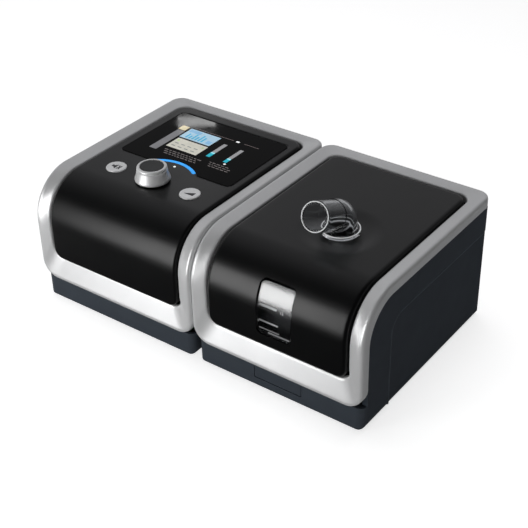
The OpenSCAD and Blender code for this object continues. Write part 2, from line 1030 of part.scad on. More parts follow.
module heater_screws() {
  color("#8d9094")
    for (a = lug_angles)
      translate([tub_x, tub_y, 0])
        rotate(a)
          translate([heater_screw_r, 0, 0]) {
            translate([0, 0, heater_head_z])
              cylinder(h = drive_z - heater_head_z, r = head_r - 0.1);
            translate([0, 0, drive_z - fit_gap])
              cylinder(h = heater_screw_z - drive_z + fit_gap, r = screw_r);
          }
}

module heater_element() {
  color("#b0713a")
    difference() {
      rod_z(heater_z - film_t, heater_z, tub_x, tub_y, heater_r);
      rod_z(0, far, tub_x, tub_y, film_hole_r);
    }
}

module heater_plate() {
  color("#b8babd")
    rod_z(heater_z, chamber_z, tub_x, tub_y, heater_plate_r);
}

module water_chamber() {
  color("#dfe8ee")
    difference() {
      union() {
        along_z(chamber_z, chamber_top_z)
          round_rect(chamber_x0, chamber_y0, chamber_x1, chamber_y1, chamber_r);
        rod_x(chamber_inlet_x, chamber_x0 + over, air_y, air_z, neck_bore_r + 1.8);
      }
      along_z(chamber_z + chamber_wall, far)
        round_rect(chamber_x0 + chamber_wall, chamber_y0 + chamber_wall,
                   chamber_x1 - chamber_wall, chamber_y1 - chamber_wall,
                   chamber_r - chamber_wall);
      rod_z(0, chamber_z + 5, tub_x, tub_y, heater_r);
      rod_x(chamber_inlet_x - over, chamber_x0 + 5, air_y, air_z, neck_bore_r);
    }
}

module chamber_base_plate() {
  color("#c3c6c9") {
    rod_z(chamber_z, chamber_z + chamber_wall, tub_x, tub_y, heater_r - 0.1);
    rod_z(chamber_z + chamber_wall, chamber_z + chamber_wall + 1.2, tub_x, tub_y, heater_r + 4);
  }
}

module chamber_gasket() {
  color("#2b5fa8")
    along_z(chamber_top_z, chamber_top_z + gasket_t)
      difference() {
        round_rect(chamber_x0, chamber_y0, chamber_x1, chamber_y1, chamber_r);
        round_rect(chamber_x0 + gasket_w, chamber_y0 + gasket_w, chamber_x1 - gasket_w,
                   chamber_y1 - gasket_w, chamber_r - gasket_w);
      }
}

module chamber_lid() {
  lid_z = chamber_top_z + gasket_t;
  inside = dome_inset + chamber_wall;
  color("#dfe8ee")
    difference() {
      union() {
        along_z(lid_z, lid_z + chamber_wall)
          round_rect(chamber_x0, chamber_y0, chamber_x1, chamber_y1, chamber_r);
        along_z(lid_z, lid_z + dome_h)
          round_rect(chamber_x0 + dome_inset, chamber_y0 + dome_inset, chamber_x1 - dome_inset,
                     chamber_y1 - dome_inset, 10);
        rod_z(lid_z + dome_h - chamber_wall, hinge_z, elbow_x, elbow_y, neck_r);
      }
      along_z(lid_z - over, lid_z + dome_h - chamber_wall)
        round_rect(chamber_x0 + inside, chamber_y0 + inside, chamber_x1 - inside,
                   chamber_y1 - inside, 8);
      rod_z(lid_z, far, elbow_x, elbow_y, neck_bore_r);
    }
}

module humidifier_board() {
  color("#1f6b45")
    block([24, 68, 8], [120, 68 + board_t, 58]);
}

module inlet_seal() {
  color("#26272a")
    difference() {
      union() {
        rod_x(hum_cx0, chamber_inlet_x - seal_gap, air_y, air_z, inlet_hole_r - 0.1);
        rod_x(hum_cx0 + wall_gap_side, hum_cx0 + wall_gap_side + 1.8, air_y, air_z,
              inlet_hole_r + 2);
      }
      rod_x(hum_cx0 - over, chamber_inlet_x + over, air_y, air_z, connector_r + seal_gap);
    }
}

module dock_socket() {
  color("#141416")
    difference() {
      block([hum_cx0 + wall_gap_side, plug_y0 - 4, plug_z0 - 4], [socket_x1, plug_y1 + 4,
            plug_z1 + 4]);
      block([hum_cx0, plug_y0 - part_gap, plug_z0 - part_gap],
            [socket_bed_x, plug_y1 + part_gap, plug_z1 + part_gap]);
    }
}

module hinge_pins() {
  color("#b9bcc0")
    for (x = hinge_x)
      rod_x(x - knuckle_len / 2 - knuckle_side, x + knuckle_len / 2 + knuckle_side, hinge_y,
            hinge_z, pin_r);
}

module humidifier_feet() {
  color("#1c1c1e")
    feet(hum_cx0, hum_cx1);
}

module release_button() {
  color("#343a41") {
    block([button_x0, case_front_y, button_z0], [button_x1, case_front_y + wall_end,
          case_lip_z - 0.5]);
    block([button_x0 + button_guide_x, case_front_y + wall_end - 0.1, button_z0],
          [button_x1 - button_guide_x, button_y1, button_guide_z]);
    block([button_x0 + latch_inset, button_y1 - 0.4, button_z0],
          [button_x1 - latch_inset, latch_y1, latch_z0 + 0.5]);
    block([button_x0 + latch_inset, latch_y0, latch_z0],
          [button_x1 - latch_inset, latch_y1, latch_z1]);
  }
}

// ---- Humidifier: lid ----

module lid_trim_frame() {
  color("#b4b6b8")
    difference() {
      union() {
        trim_frame(hum_x0, hum_x1);
        for (x = hinge_x)
          along_x(x - knuckle_len / 2, x + knuckle_len / 2) {
            translate([hinge_y, hinge_z])
              circle(knuckle_r);
            rect(hinge_y - 2.5, hinge_z, hinge_y + 2.5, ridge_z - band_depth + 0.2);
          }
      }
      for (x = hinge_x)
        rod_x(x - 20, x + 20, hinge_y, hinge_z, pin_r + press_gap);
    }
}

module window_cut(grow) {
  along_y(-far, -70)
    round_rect(window_x0 - grow, window_z0 - grow, window_x1 + grow, window_z1 + grow,
               window_r + grow);
}

module lid_cover() {
  color("#232426")
    difference() {
      cover_shell(hum_x0, hum_x1, hum_flange_y);
      window_cut(glass_gap);
      rod_z(ui_z, far, elbow_x, elbow_y, connector_r + seal_gap);
    }
}

module lid_window() {
  color("#c9d2d8")
    intersection() {
      curved_sheet(window_x0, window_x1, cover_drop + pane_under, cover_drop + pane_depth);
      window_cut(0);
    }
}

module lid_catch() {
  color("#c9ccd0")
    block([catch_x0, front_y + band_depth, catch_z0],
          [catch_x1, front_y + band_depth + 2, catch_z1]);
}

module elbow_seal() {
  color("#26272a")
    difference() {
      rod_z(hinge_z + 0.4, skin_under_z, elbow_x, elbow_y, seal_r);
      rod_z(0, far, elbow_x, elbow_y, connector_r + seal_gap);
    }
}

// ---- Outlet elbow ----

module outlet_elbow() {
  color("#cfd8de")
    translate([elbow_x, elbow_y, 0])
      difference() {
        union() {
          rod_z(elbow_z0, skin_z + 1, 0, 0, connector_r);
          rod_z(skin_z + 0.4, skin_z + 2.4, 0, 0, elbow_flange_r);
          rod_z(skin_z + 2, bend_z, 0, 0, bend_r);
          translate([0, 0, bend_z])
            sphere(bend_r);
          translate([0, 0, bend_z])
            rotate([elbow_tilt, 0, 0]) {
              cylinder(h = collar_len, r = collar_r);
              cylinder(h = elbow_len, r = connector_r);
            }
        }
        rod_z(elbow_z0 - over, bend_z, 0, 0, elbow_bore_r);
        translate([0, 0, bend_z])
          sphere(elbow_bore_r + fit_gap);
        translate([0, 0, bend_z])
          rotate([elbow_tilt, 0, 0])
            cylinder(h = elbow_len + over, r = elbow_bore_r);
      }
}

main_base_case();
main_trim_frame();
main_top_cover();
screen_glass();
light_arc();
status_led();
lcd_module();
lcd_bracket();
ui_board();
ui_screws();
encoder_body();
button_switches();
encoder_plunger();
encoder_shaft();
control_knob();
knob_cap();
mute_button();
ramp_button();
main_board();
board_components();
alarm_buzzer();
blower_motor_housing();
blower_volute();
blower_motor();
motor_shaft();
impeller();
blower_mounts();
inlet_duct();
filter_housing();
inlet_filter();
filter_cap();
outlet_duct();
outlet_spigot();
dc_inlet();
card_slot();
memory_card();
main_case_screws();
main_feet();
dock_plug();
humidifier_base_case();
heater_insulator();
heater_screws();
heater_element();
heater_plate();
water_chamber();
chamber_base_plate();
chamber_gasket();
chamber_lid();
humidifier_board();
inlet_seal();
dock_socket();
hinge_pins();
humidifier_feet();
lid_trim_frame();
lid_cover();
lid_window();
lid_catch();
elbow_seal();
outlet_elbow();
release_button();
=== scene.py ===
"""Looks of the bedside bilevel ventilator with its docked humidifier.

Everything is in metres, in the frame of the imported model: +X right, +Y to the rear, +Z up, with
the origin at the centre of the footprint. The top and the front of each module are one bent
surface. Places on it are given as x, the distance s from the frame's lower edge along the side
view, and the height h above the frame's ridge surface.
"""
import json
from math import acos, asin, cos, hypot, pi, radians, sin, tan

import bmesh
import bpy
from mathutils import Matrix, Vector


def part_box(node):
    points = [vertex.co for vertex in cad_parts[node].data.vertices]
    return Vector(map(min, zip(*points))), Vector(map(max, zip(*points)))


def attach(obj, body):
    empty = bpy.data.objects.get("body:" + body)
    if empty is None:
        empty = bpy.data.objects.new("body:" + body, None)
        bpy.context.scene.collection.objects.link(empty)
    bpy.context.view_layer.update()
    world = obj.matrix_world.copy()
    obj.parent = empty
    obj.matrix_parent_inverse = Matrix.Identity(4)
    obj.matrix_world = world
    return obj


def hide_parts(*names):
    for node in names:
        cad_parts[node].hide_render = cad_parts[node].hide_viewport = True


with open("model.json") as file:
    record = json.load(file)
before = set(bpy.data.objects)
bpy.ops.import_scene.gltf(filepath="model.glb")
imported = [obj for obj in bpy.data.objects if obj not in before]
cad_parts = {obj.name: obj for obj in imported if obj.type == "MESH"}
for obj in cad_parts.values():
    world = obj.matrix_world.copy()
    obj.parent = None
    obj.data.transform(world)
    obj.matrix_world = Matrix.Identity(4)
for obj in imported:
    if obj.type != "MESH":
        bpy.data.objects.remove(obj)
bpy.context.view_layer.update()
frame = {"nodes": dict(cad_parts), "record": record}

MM = 0.001
HALF_PI = pi / 2

# ---- Sizes from the frame ----

MAIN_LOW, MAIN_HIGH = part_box("main_trim_frame")
LID_LOW, LID_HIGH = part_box("lid_trim_frame")
FRAME_Z, RIDGE_Z = LID_LOW.z, LID_HIGH.z
FRONT_Y, REAR_Y = LID_LOW.y, LID_HIGH.y
SKIN_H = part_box("lid_cover")[1].z - RIDGE_Z
ARC_R = 36 * MM
ARC_Y, ARC_Z = FRONT_Y + ARC_R, RIDGE_Z - ARC_R
FLAT_LEN = ARC_Z - FRAME_Z
BEND_LEN = ARC_R * HALF_PI
SHEET_LEN = FLAT_LEN + BEND_LEN + REAR_Y - ARC_Y

BAND_SIDE, BAND_FRONT, BAND_REAR = 12 * MM, 18 * MM, 10 * MM
FRONT_R, REAR_R, OPENING_R = 14 * MM, 10 * MM, 9 * MM
COVER_GAP = 1.75 * MM
COVER_R = 8.1 * MM
COVER_WALL, COVER_SKIRT = 2.5 * MM, 9 * MM
SKIN_Z = RIDGE_Z + SKIN_H

PANEL_STEP = 1.5 * MM  # how far a casing's side panel is recessed
PANEL_FRONT_Y, PANEL_TOP_Z, PANEL_R = -51 * MM, 76.5 * MM, 15 * MM
CASES = (("main_base_case", "main_unit", 0), ("humidifier_base_case", "humidifier", 1))


def middle(node):
    low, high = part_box(node)
    return (low + high) / 2


KNOB = middle("control_knob")
ELBOW = middle("elbow_seal")


def on_body(x, s, h):
    """The point at height h over the bent surface."""
    if s < FLAT_LEN:
        return Vector((x, FRONT_Y - h, FRAME_Z + s))
    angle = (s - FLAT_LEN) / ARC_R
    if angle < HALF_PI:
        r = ARC_R + h
        return Vector((x, ARC_Y - r * cos(angle), ARC_Z + r * sin(angle)))
    return Vector((x, ARC_Y + s - FLAT_LEN - BEND_LEN, RIDGE_Z + h))


def eased(t):
    """A smooth step from 0 to 1, level at both ends."""
    t = min(1.0, max(0.0, t))
    return t * t * (3 - 2 * t)


def s_of_z(z):
    """The place on the bend or the front at the height z."""
    if z < ARC_Z:
        return z - FRAME_Z
    return FLAT_LEN + ARC_R * asin(min(1.0, (z - ARC_Z) / ARC_R))


# ---- Meshes ----

SHARP = 35  # degrees
SAME_PLACE, CAD_SAME_PLACE = 1e-7, 2e-6
FLAT_ANGLE, EDGE_ANGLE = radians(0.6), radians(40)


def linked(name, data):
    """A new object in the scene."""
    thing = bpy.data.objects.new(name, data)
    bpy.context.scene.collection.objects.link(thing)
    return thing


def meshed(name, bm):
    """An object with the shape of a bmesh, which is then freed."""
    mesh = bpy.data.meshes.new(name)
    bm.to_mesh(mesh)
    bm.free()
    return linked(name, mesh)


def solid(name, verts, faces):
    """An object from points and faces, with its faces turned outwards."""
    bm = bmesh.new()
    points = [bm.verts.new(v) for v in verts]
    for face in faces:
        bm.faces.new([points[i] for i in face])
    bmesh.ops.remove_doubles(bm, verts=bm.verts, dist=SAME_PLACE)
    bmesh.ops.recalc_face_normals(bm, faces=bm.faces)
    return meshed(name, bm)


def make(name, shape, look, body, replaced=(), sharp=SHARP):
    """A piece from its points and faces, with its look, riding on its body."""
    return finish(solid(name, *shape), look, body, replaced, sharp)


def finish(piece, look, body, replaced=(), sharp=SHARP):
    piece.data.materials.append(look)
    smooth(piece, sharp)
    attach(piece, body)
    if replaced:
        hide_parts(*replaced)
    return piece


def smooth(piece, sharp=SHARP):
    """Smooth shading that keeps sharp edges sharp and flat faces flat."""
    piece.data.shade_smooth()
    piece.data.set_sharp_from_angle(angle=radians(sharp))
    even = piece.modifiers.new("even", "WEIGHTED_NORMAL")
    even.keep_sharp = True
    applied(piece)


def applied(piece):
    """Puts the result of the piece's modifiers in its mesh."""
    graph = bpy.context.evaluated_depsgraph_get()
    result = bpy.data.meshes.new_from_object(piece.evaluated_get(graph),
                                             preserve_all_data_layers=True, depsgraph=graph)
    piece.modifiers.clear()
    piece.data = result


def bridged(rings, closed=True, caps=()):
    """Points and faces of equal rings joined in order; caps lists the rings filled across."""
    count = len(rings[0])
    verts = [p for ring in rings for p in ring]
    faces = []
    pairs = [(i, i + 1) for i in range(len(rings) - 1)]
    if closed:
        pairs.append((len(rings) - 1, 0))
    for a, b in pairs:
        for i in range(count):
            j = (i + 1) % count
            faces.append((a * count + i, a * count + j, b * count + j, b * count + i))
    for ring in caps:
        faces.append(tuple(ring * count + i for i in range(count)))
    return verts, faces


def lathe(profile, centre, turns, axis=(0, 0, 1)):
    """A profile of (radius, height) turned round an axis; radius 0 closes it to a point."""
    turn = Vector((0, 0, 1)).rotation_difference(Vector(axis)).to_matrix()
    verts, faces, rings = [], [], []
    for r, h in profile:
        angles = [2 * pi * i / turns for i in range(turns)] if r > 0 else [0.0]
        rings.append(range(len(verts), len(verts) + len(angles)))
        verts += [Vector(centre) + turn @ Vector((r * cos(a), r * sin(a), h))
                  for a in angles]
    pairs = list(zip(rings, rings[1:]))
    if len(rings[0]) > 1 or len(rings[-1]) > 1:
        pairs.append((rings[-1], rings[0]))
    for a, b in pairs:
        for i in range(turns):
            j = (i + 1) % turns
            if len(a) > 1 and len(b) > 1:
                faces.append((a[i], a[j], b[j], b[i]))
            elif len(b) > 1:
                faces.append((a[0], b[i], b[j]))
            elif len(a) > 1:
                faces.append((a[i], b[0], a[j]))
    return verts, faces


def rounded(corners, radius, steps=6):
    """A polygon's outline with each corner turned on an arc."""
    out = []
    for i, here in enumerate(corners):
        before = (corners[i - 1] - here).normalized()
        after = (corners[(i + 1) % len(corners)] - here).normalized()
        half = before.angle(after) / 2
        reach = radius / tan(half)
        centre = here + (before + after).normalized() * (radius / sin(half))
        start, end = here + before * reach - centre, here + after * reach - centre
        out += [centre + start.lerp(end, k / steps).normalized() * radius
                for k in range(steps + 1)]
    return out


def shrunk(outline, distance):
    """An outline moved inwards by a distance."""
    area = sum(a.x * b.y - b.x * a.y for a, b in zip(outline, outline[1:] + outline[:1]))
    side = 1 if area > 0 else -1
    out = []
    for i, here in enumerate(outline):
        along = (outline[(i + 1) % len(outline)] - outline[i - 1]).normalized()
        out.append(here + Vector((-along.y, along.x)) * distance * side)
    return out


def plate(outline, low, high, edge=0.0, place=None):
    """A flat plate with an outline in (x, y) from low to high, and rounded edges."""
    place = place or (lambda x, y, z: Vector((x, y, z)))
    steps = [(0, 0)]
    if edge:
        steps = [(edge * (1 - sin(a)), edge * (1 - cos(a)))
                 for a in (0, HALF_PI / 3, 2 * HALF_PI / 3, HALF_PI)]
    levels = [(inset, low + drop) for inset, drop in steps]
    levels += [(inset, high - drop) for inset, drop in reversed(steps)]
    rings = [[place(p.x, p.y, z) for p in shrunk(outline, inset)] for inset, z in levels]
    return bridged(rings, closed=False, caps=(0, len(rings) - 1))


def joined(*parts):
    verts, faces = [], []
    for part_verts, part_faces in parts:
        base = len(verts)
        verts += part_verts
        faces += [tuple(base + i for i in face) for face in part_faces]
    return verts, faces


def rect(x0, y0, x1, y1):
    return [Vector((x0, y0)), Vector((x1, y0)), Vector((x1, y1)), Vector((x0, y1))]


def ring_round(centre, r, count):
    return [Vector((centre[0] + r * cos(2 * pi * i / count),
                    centre[1] + r * sin(2 * pi * i / count))) for i in range(count)]


def carve(piece, *cutters):
    """Cuts solids out of the piece."""
    for shape in cutters:
        cutter = solid("cutter", *shape)
        step = piece.modifiers.new("cut", "BOOLEAN")
        step.object = cutter
        step.operation = "DIFFERENCE"
        step.solver = "EXACT"
        applied(piece)
        bpy.data.objects.remove(cutter)


def softened(node, name, look, body, width, segments, reshape=None):
    """A copy of a CAD node's shape with its sharp edges rounded, which stands for the node."""
    bm = bmesh.new()
    bm.from_mesh(frame["nodes"][node].data)
    bmesh.ops.remove_doubles(bm, verts=bm.verts, dist=CAD_SAME_PLACE)
    bmesh.ops.dissolve_limit(bm, angle_limit=FLAT_ANGLE, verts=bm.verts, edges=bm.edges)
    if reshape:
        reshape(bm)
    edges = [e for e in bm.edges if len(e.link_faces) == 2 and e.calc_face_angle(0) > EDGE_ANGLE]
    bmesh.ops.bevel(bm, geom=edges, offset=width, segments=segments, profile=0.5,
                    affect="EDGES", clamp_overlap=True)
    finish(meshed(name, bm), look, body, (node,))


# ---- Materials ----

NOISE_LOW, NOISE_HIGH = 0.3, 0.7  # most of a noise's values lie between these


def preset(node, values):
    """Sets values on a node's inputs, whose names have _ for each space."""
    for socket, value in values.items():
        node.inputs[socket.replace("_", " ")].default_value = value


LOOKS = {}


class Look:
    """A procedural material being put together, and listed in LOOKS."""

    def __init__(self, name, **sockets):
        self.material = LOOKS[name] = bpy.data.materials.new(name)
        self.material.use_nodes = True
        self.nodes = self.material.node_tree.nodes
        self.links = self.material.node_tree.links
        self.shader = self.nodes["Principled BSDF"]
        self.place = self.nodes.new("ShaderNodeTexCoord").outputs["Object"]
        preset(self.shader, sockets)

    def node(self, kind, vector=None, **values):
        node = self.nodes.new("ShaderNode" + kind)
        preset(node, values)
        if vector:
            self.links.new(vector, node.inputs["Vector"])
        return node

    def stretched(self, scale, offset=(0, 0, 0)):
        return self.node("Mapping", self.place, Location=offset, Scale=scale).outputs["Vector"]

    def split(self, vector):
        node = self.node("SeparateXYZ")
        self.links.new(vector, node.inputs[0])
        return node.outputs

    def noise(self, size, detail=2.0, place=None, roughness=0.5):
        return self.node("TexNoise", place or self.place, Scale=1 / size, Detail=detail,
                         Roughness=roughness).outputs["Fac"]

    def cells(self, size):
        return self.node("TexVoronoi", self.place, Scale=1 / size).outputs["Distance"]

    def math(self, operation, a, b=None):
        node = self.node("Math")
        node.operation = operation
        for socket, value in zip(node.inputs, (a, b)):
            if isinstance(value, (int, float)):
                socket.default_value = value
            elif value is not None:
                self.links.new(value, socket)
        return node.outputs[0]

    def mixed(self, a, share, b):
        """A share of one factor, and the rest of another."""
        return self.math("ADD", self.math("MULTIPLY", a, share),
                         self.math("MULTIPLY", b, 1 - share))

    def colours(self, factor, *stops):
        """Base colour from a ramp; each stop is (position, colour)."""
        node = self.node("ValToRGB")
        for element, (position, colour) in zip(node.color_ramp.elements, stops):
            element.position = position
            element.color = (*colour, 1)
        self.links.new(factor, node.inputs["Fac"])
        self.links.new(node.outputs["Color"], self.shader.inputs["Base Color"])
        return node.outputs["Color"]

    def shade(self, factor, colour, spread):
        """Base colour that varies a little either side of one colour."""
        dark = tuple(c * (1 - spread) for c in colour)
        light = tuple(c * (1 + spread) for c in colour)
        return self.colours(factor, (NOISE_LOW, dark), (NOISE_HIGH, light))

    def rough(self, factor, low, high):
        node = self.node("MapRange", From_Min=NOISE_LOW, From_Max=NOISE_HIGH, To_Min=low,
                         To_Max=high)
        self.links.new(factor, node.inputs["Value"])
        self.links.new(node.outputs["Result"], self.shader.inputs["Roughness"])

    def relief(self, height, depth):
        node = self.node("Bump", Distance=depth, Strength=1.0)
        self.links.new(height, node.inputs["Height"])
        before = self.shader.inputs["Normal"]
        if before.is_linked:
            self.links.new(before.links[0].from_socket, node.inputs["Normal"])
        self.links.new(node.outputs["Normal"], before)


def moulded(name, colour, low, high, grain, depth, spread=0.06, **sockets):
    """Moulded plastic or rubber: slow shade changes, and a fine eroded grain.

    The grain's size and its depth are in millimetres.
    """
    look = Look(name, **sockets)
    look.shade(look.noise(14 * MM, 3), colour, spread)
    fine = look.noise(grain * MM, 3, roughness=0.6)
    look.rough(look.mixed(fine, 0.5, look.noise(22 * MM, 2)), low, high)
    look.relief(look.math("ADD", fine, look.cells(grain * MM * 1.7)), depth * MM)
    return look.material


def painted_silver():
    """Metallic paint: flakes that differ in shade, a slight orange peel."""
    look = Look("silver_paint", Metallic=0.6, Specular_IOR_Level=0.5, Coat_Weight=0.1,
                Coat_Roughness=0.2)
    flakes = look.noise(0.16 * MM, 1)
    look.shade(look.mixed(flakes, 0.45, look.noise(30 * MM, 2)), (0.755, 0.76, 0.765), 0.05)
    look.rough(look.noise(0.5 * MM, 2), 0.34, 0.42)
    look.relief(look.noise(1.8 * MM, 1), 0.012 * MM)
    look.relief(flakes, 0.004 * MM)
    return look.material


def brushed(name, colour, centre, low, high, metallic):
    """Turned metal: fine lines that run round an upright axis."""
    look = Look(name, Metallic=metallic)
    x, y, z = look.split(look.stretched((1, 1, 1), (-centre.x, -centre.y, 0)))
    radius = look.math("SQRT", look.math("ADD", look.math("MULTIPLY", x, x),
                                         look.math("MULTIPLY", y, y)))
    turn = look.math("MULTIPLY", look.math("ARCTAN2", y, x), 0.25 * MM)
    join = look.node("CombineXYZ")
    for value, socket in zip((turn, radius, z), join.inputs):
        look.links.new(value, socket)
    lines = look.noise(0.10 * MM, 2, place=join.outputs[0])
    look.shade(lines, colour, 0.05)
    look.rough(lines, low, high)
    look.relief(lines, 0.006 * MM)
    return look.material


def cast_metal(name, colour, low, high, stretch=(1, 1, 1)):
    """Rolled or machined metal with fine streaks."""
    look = Look(name, Metallic=1.0)
    lines = look.noise(0.3 * MM, 3, place=look.stretched(stretch))
    look.shade(look.mixed(lines, 0.5, look.noise(9 * MM)), colour, 0.08)
    look.rough(lines, low, high)
    look.relief(lines, 0.008 * MM)
    return look.material


def polished(name, shade, rough, relief, **sockets):
    """Glass or clear plastic that varies slowly.

    shade is (size, colour, spread), rough is (size, detail, low, high), and relief is
    (size, detail, depth). The sizes and the depth are in millimetres.
    """
    look = Look(name, **sockets)
    size, colour, spread = shade
    look.shade(look.noise(size * MM, 2), colour, spread)
    size, detail, low, high = rough
    look.rough(look.noise(size * MM, detail), low, high)
    size, detail, depth = relief
    look.relief(look.noise(size * MM, detail), depth * MM)
    return look


def pane_plastic():
    """The window's clear pane, whose curved upper part has a frosted sheen."""
    look = polished("pane_plastic", (20, (0.78, 0.79, 0.80), 0.015), (6, 3, 0.05, 0.09),
                    (5, 2, 0.01), Transmission_Weight=1.0, IOR=1.25, Coat_Roughness=0.30,
                    Coat_IOR=2.35)
    frost = look.node("MapRange", From_Min=68 * MM, From_Max=82 * MM)
    frost.interpolation_type = "SMOOTHSTEP"
    look.links.new(look.split(look.place)["Z"], frost.inputs["Value"])
    look.links.new(frost.outputs["Result"], look.shader.inputs["Coat Weight"])
    return look.material


def glowing(name, colour, power, spread, size, gloss):
    """A lit area behind glossy plastic, with patches of a size in millimetres."""
    look = Look(name, Emission_Strength=power, Specular_IOR_Level=0.06)
    tint = look.shade(look.noise(size * MM, 2), colour, spread)
    look.links.new(tint, look.shader.inputs["Emission Color"])
    look.rough(look.noise(2 * MM, 2), gloss, gloss * 1.6)
    return look.material


def printed_board():
    """Solder mask over copper tracks."""
    look = Look("circuit_board", Specular_IOR_Level=0.5)
    tracks = look.node("TexBrick", look.place, Scale=1 / (7 * MM), Mortar_Size=0.03,
                       Color1=(0.010, 0.085, 0.045, 1), Color2=(0.008, 0.065, 0.035, 1),
                       Mortar=(0.03, 0.19, 0.09, 1))
    look.links.new(tracks.outputs["Color"], look.shader.inputs["Base Color"])
    look.rough(look.noise(1 * MM, 2), 0.28, 0.42)
    look.relief(tracks.outputs["Fac"], 0.03 * MM)
    return look.material


def heater_film():
    """Copper tracks on a film."""
    look = Look("copper_film", Metallic=0.9)
    waves = look.node("TexWave", look.stretched((1, 1, 1), (-ELBOW.x, 0, 0)),
                      Scale=1 / (18 * MM), Distortion=0.6)
    waves.wave_type = "RINGS"
    waves.rings_direction = "Z"
    look.colours(waves.outputs["Fac"], (0.42, (0.16, 0.06, 0.02)), (0.58, (0.72, 0.33, 0.16)))
    look.rough(look.noise(0.6 * MM, 2), 0.25, 0.4)
    look.relief(waves.outputs["Fac"], 0.05 * MM)
    return look.material


def foam():
    """Open-cell foam with deep pores."""
    look = Look("filter_foam")
    pores = look.cells(1.1 * MM)
    look.colours(pores, (0.1, (0.35, 0.34, 0.30)), (0.6, (0.80, 0.79, 0.73)))
    look.rough(pores, 0.85, 0.97)
    look.relief(pores, 0.5 * MM)
    return look.material


BLACK = moulded("black_plastic", (0.0013, 0.0014, 0.0016), 0.29, 0.35, 0.25, 0.004)
SLATE = moulded("slate_plastic", (0.025, 0.0325, 0.043), 0.42, 0.52, 0.4, 0.02)
# A lighter copy of the slate plastic: painted light for the highlight along each side panel's lip.
SLATE_PAINTED_LIGHT = moulded("slate_painted_light", (0.046, 0.058, 0.072), 0.36, 0.44, 0.4, 0.01)
SILVER = painted_silver()
GLASS = polished("screen_glass", (30, (0.0016, 0.0015, 0.0016), 0.2), (12, 4, 0.03, 0.075),
                 (35, 1, 0.02), Specular_IOR_Level=0.05).material
CLEAR = polished("clear_plastic", (20, (0.80, 0.815, 0.825), 0.015), (6, 3, 0.015, 0.05),
                 (5, 2, 0.015), Transmission_Weight=1.0, IOR=1.33).material
# Grey-tinted clear plastic for the water chamber and its lid: the tint is painted shade, darkening
# the view through the window where the inside of the closed humidifier lies in shade.
SHADE_TINTED_CHAMBER = polished("chamber_plastic", (16, (0.42, 0.435, 0.45), 0.06), (4, 3, 0.05, 0.12),
                   (3, 2, 0.03), Transmission_Weight=0.95, IOR=1.4).material
PANE = pane_plastic()
KNOB_METAL = brushed("knob_metal", (0.93, 0.935, 0.94), KNOB, 0.36, 0.46, 0.6)
BUTTON = moulded("button_plastic", (0.90, 0.905, 0.91), 0.30, 0.40, 0.3, 0.005, 0.03, Metallic=0.3)
CAP = moulded("knob_cap_plastic", (0.018, 0.019, 0.020), 0.38, 0.48, 0.25, 0.012)
RUBBER = moulded("rubber", (0.014, 0.014, 0.015), 0.68, 0.82, 0.5, 0.04)
moulded("silicone", (0.10, 0.102, 0.105), 0.45, 0.58, 0.5, 0.03)
cast_metal("steel", (0.58, 0.59, 0.61), 0.22, 0.34)
cast_metal("aluminium", (0.76, 0.77, 0.78), 0.26, 0.40, (1, 0.05, 1))
printed_board()
COMPONENT = moulded("component_plastic", (0.018, 0.018, 0.019), 0.42, 0.55, 0.3, 0.02)
moulded("grey_plastic", (0.075, 0.08, 0.09), 0.42, 0.52, 0.5, 0.02)
moulded("pale_plastic", (0.62, 0.61, 0.58), 0.36, 0.46, 0.5, 0.015, 0.03)
heater_film()
moulded("ceramic_board", (0.66, 0.63, 0.54), 0.72, 0.88, 0.6, 0.05, 0.07)
foam()
CARD = moulded("card_plastic", (0.018, 0.045, 0.13), 0.34, 0.44, 0.3, 0.01)
BLUE_LIGHT = glowing("blue_light", (0.04, 0.31, 0.78), 0.85, 0.10, 7, 0.18)
WHITE_LIGHT = glowing("white_light", (0.85, 0.88, 0.84), 0.9, 0.05, 2, 0.2)
INK = moulded("printed_ink", (0.05, 0.05, 0.055), 0.4, 0.5, 0.3, 0.003)
# Pale print for the chamber's level marks, also used on the elbow's flange edge. Its faint emission
# is painted light: a glow that stands in for lamp light the pane keeps off the marks, and the
# flange rim's painted highlight.
PRINT_AND_PAINTED_GLOW = moulded("level_print_and_painted_glow", (0.78, 0.79, 0.80), 0.4, 0.5, 0.3, 0.003, 0.04,
               Emission_Strength=0.18)
# A frosted moulded edge whose pale colour and faint emission also paint the bright highlight on the
# elbow's mouth rim.
FROSTED_AND_PAINTED_HIGHLIGHT = moulded("frosted_edge_and_painted_highlight", (0.80, 0.82, 0.83), 0.42, 0.52, 0.3, 0.004, 0.03,
                  Transmission_Weight=0.3, Emission_Strength=0.03)

OTHER_SLOT_NAMES = {"display": "screen_glass", "blue_rubber": "silicone"}


def finish_cad_nodes():
    """Gives every CAD node its procedural material."""
    for entry in frame["record"]["subparts"]:
        node = entry["node"]
        slot = entry["material_slot"]
        look = LOOKS[OTHER_SLOT_NAMES.get(slot, slot)]
        # The chamber and its lid get the grey-tinted chamber plastic, whose tint is painted shade.
        if node in ("water_chamber", "chamber_lid"):
            look = SHADE_TINTED_CHAMBER
        for material_slot in frame["nodes"][node].material_slots:
            material_slot.material = look


# ---- Trim frames ----

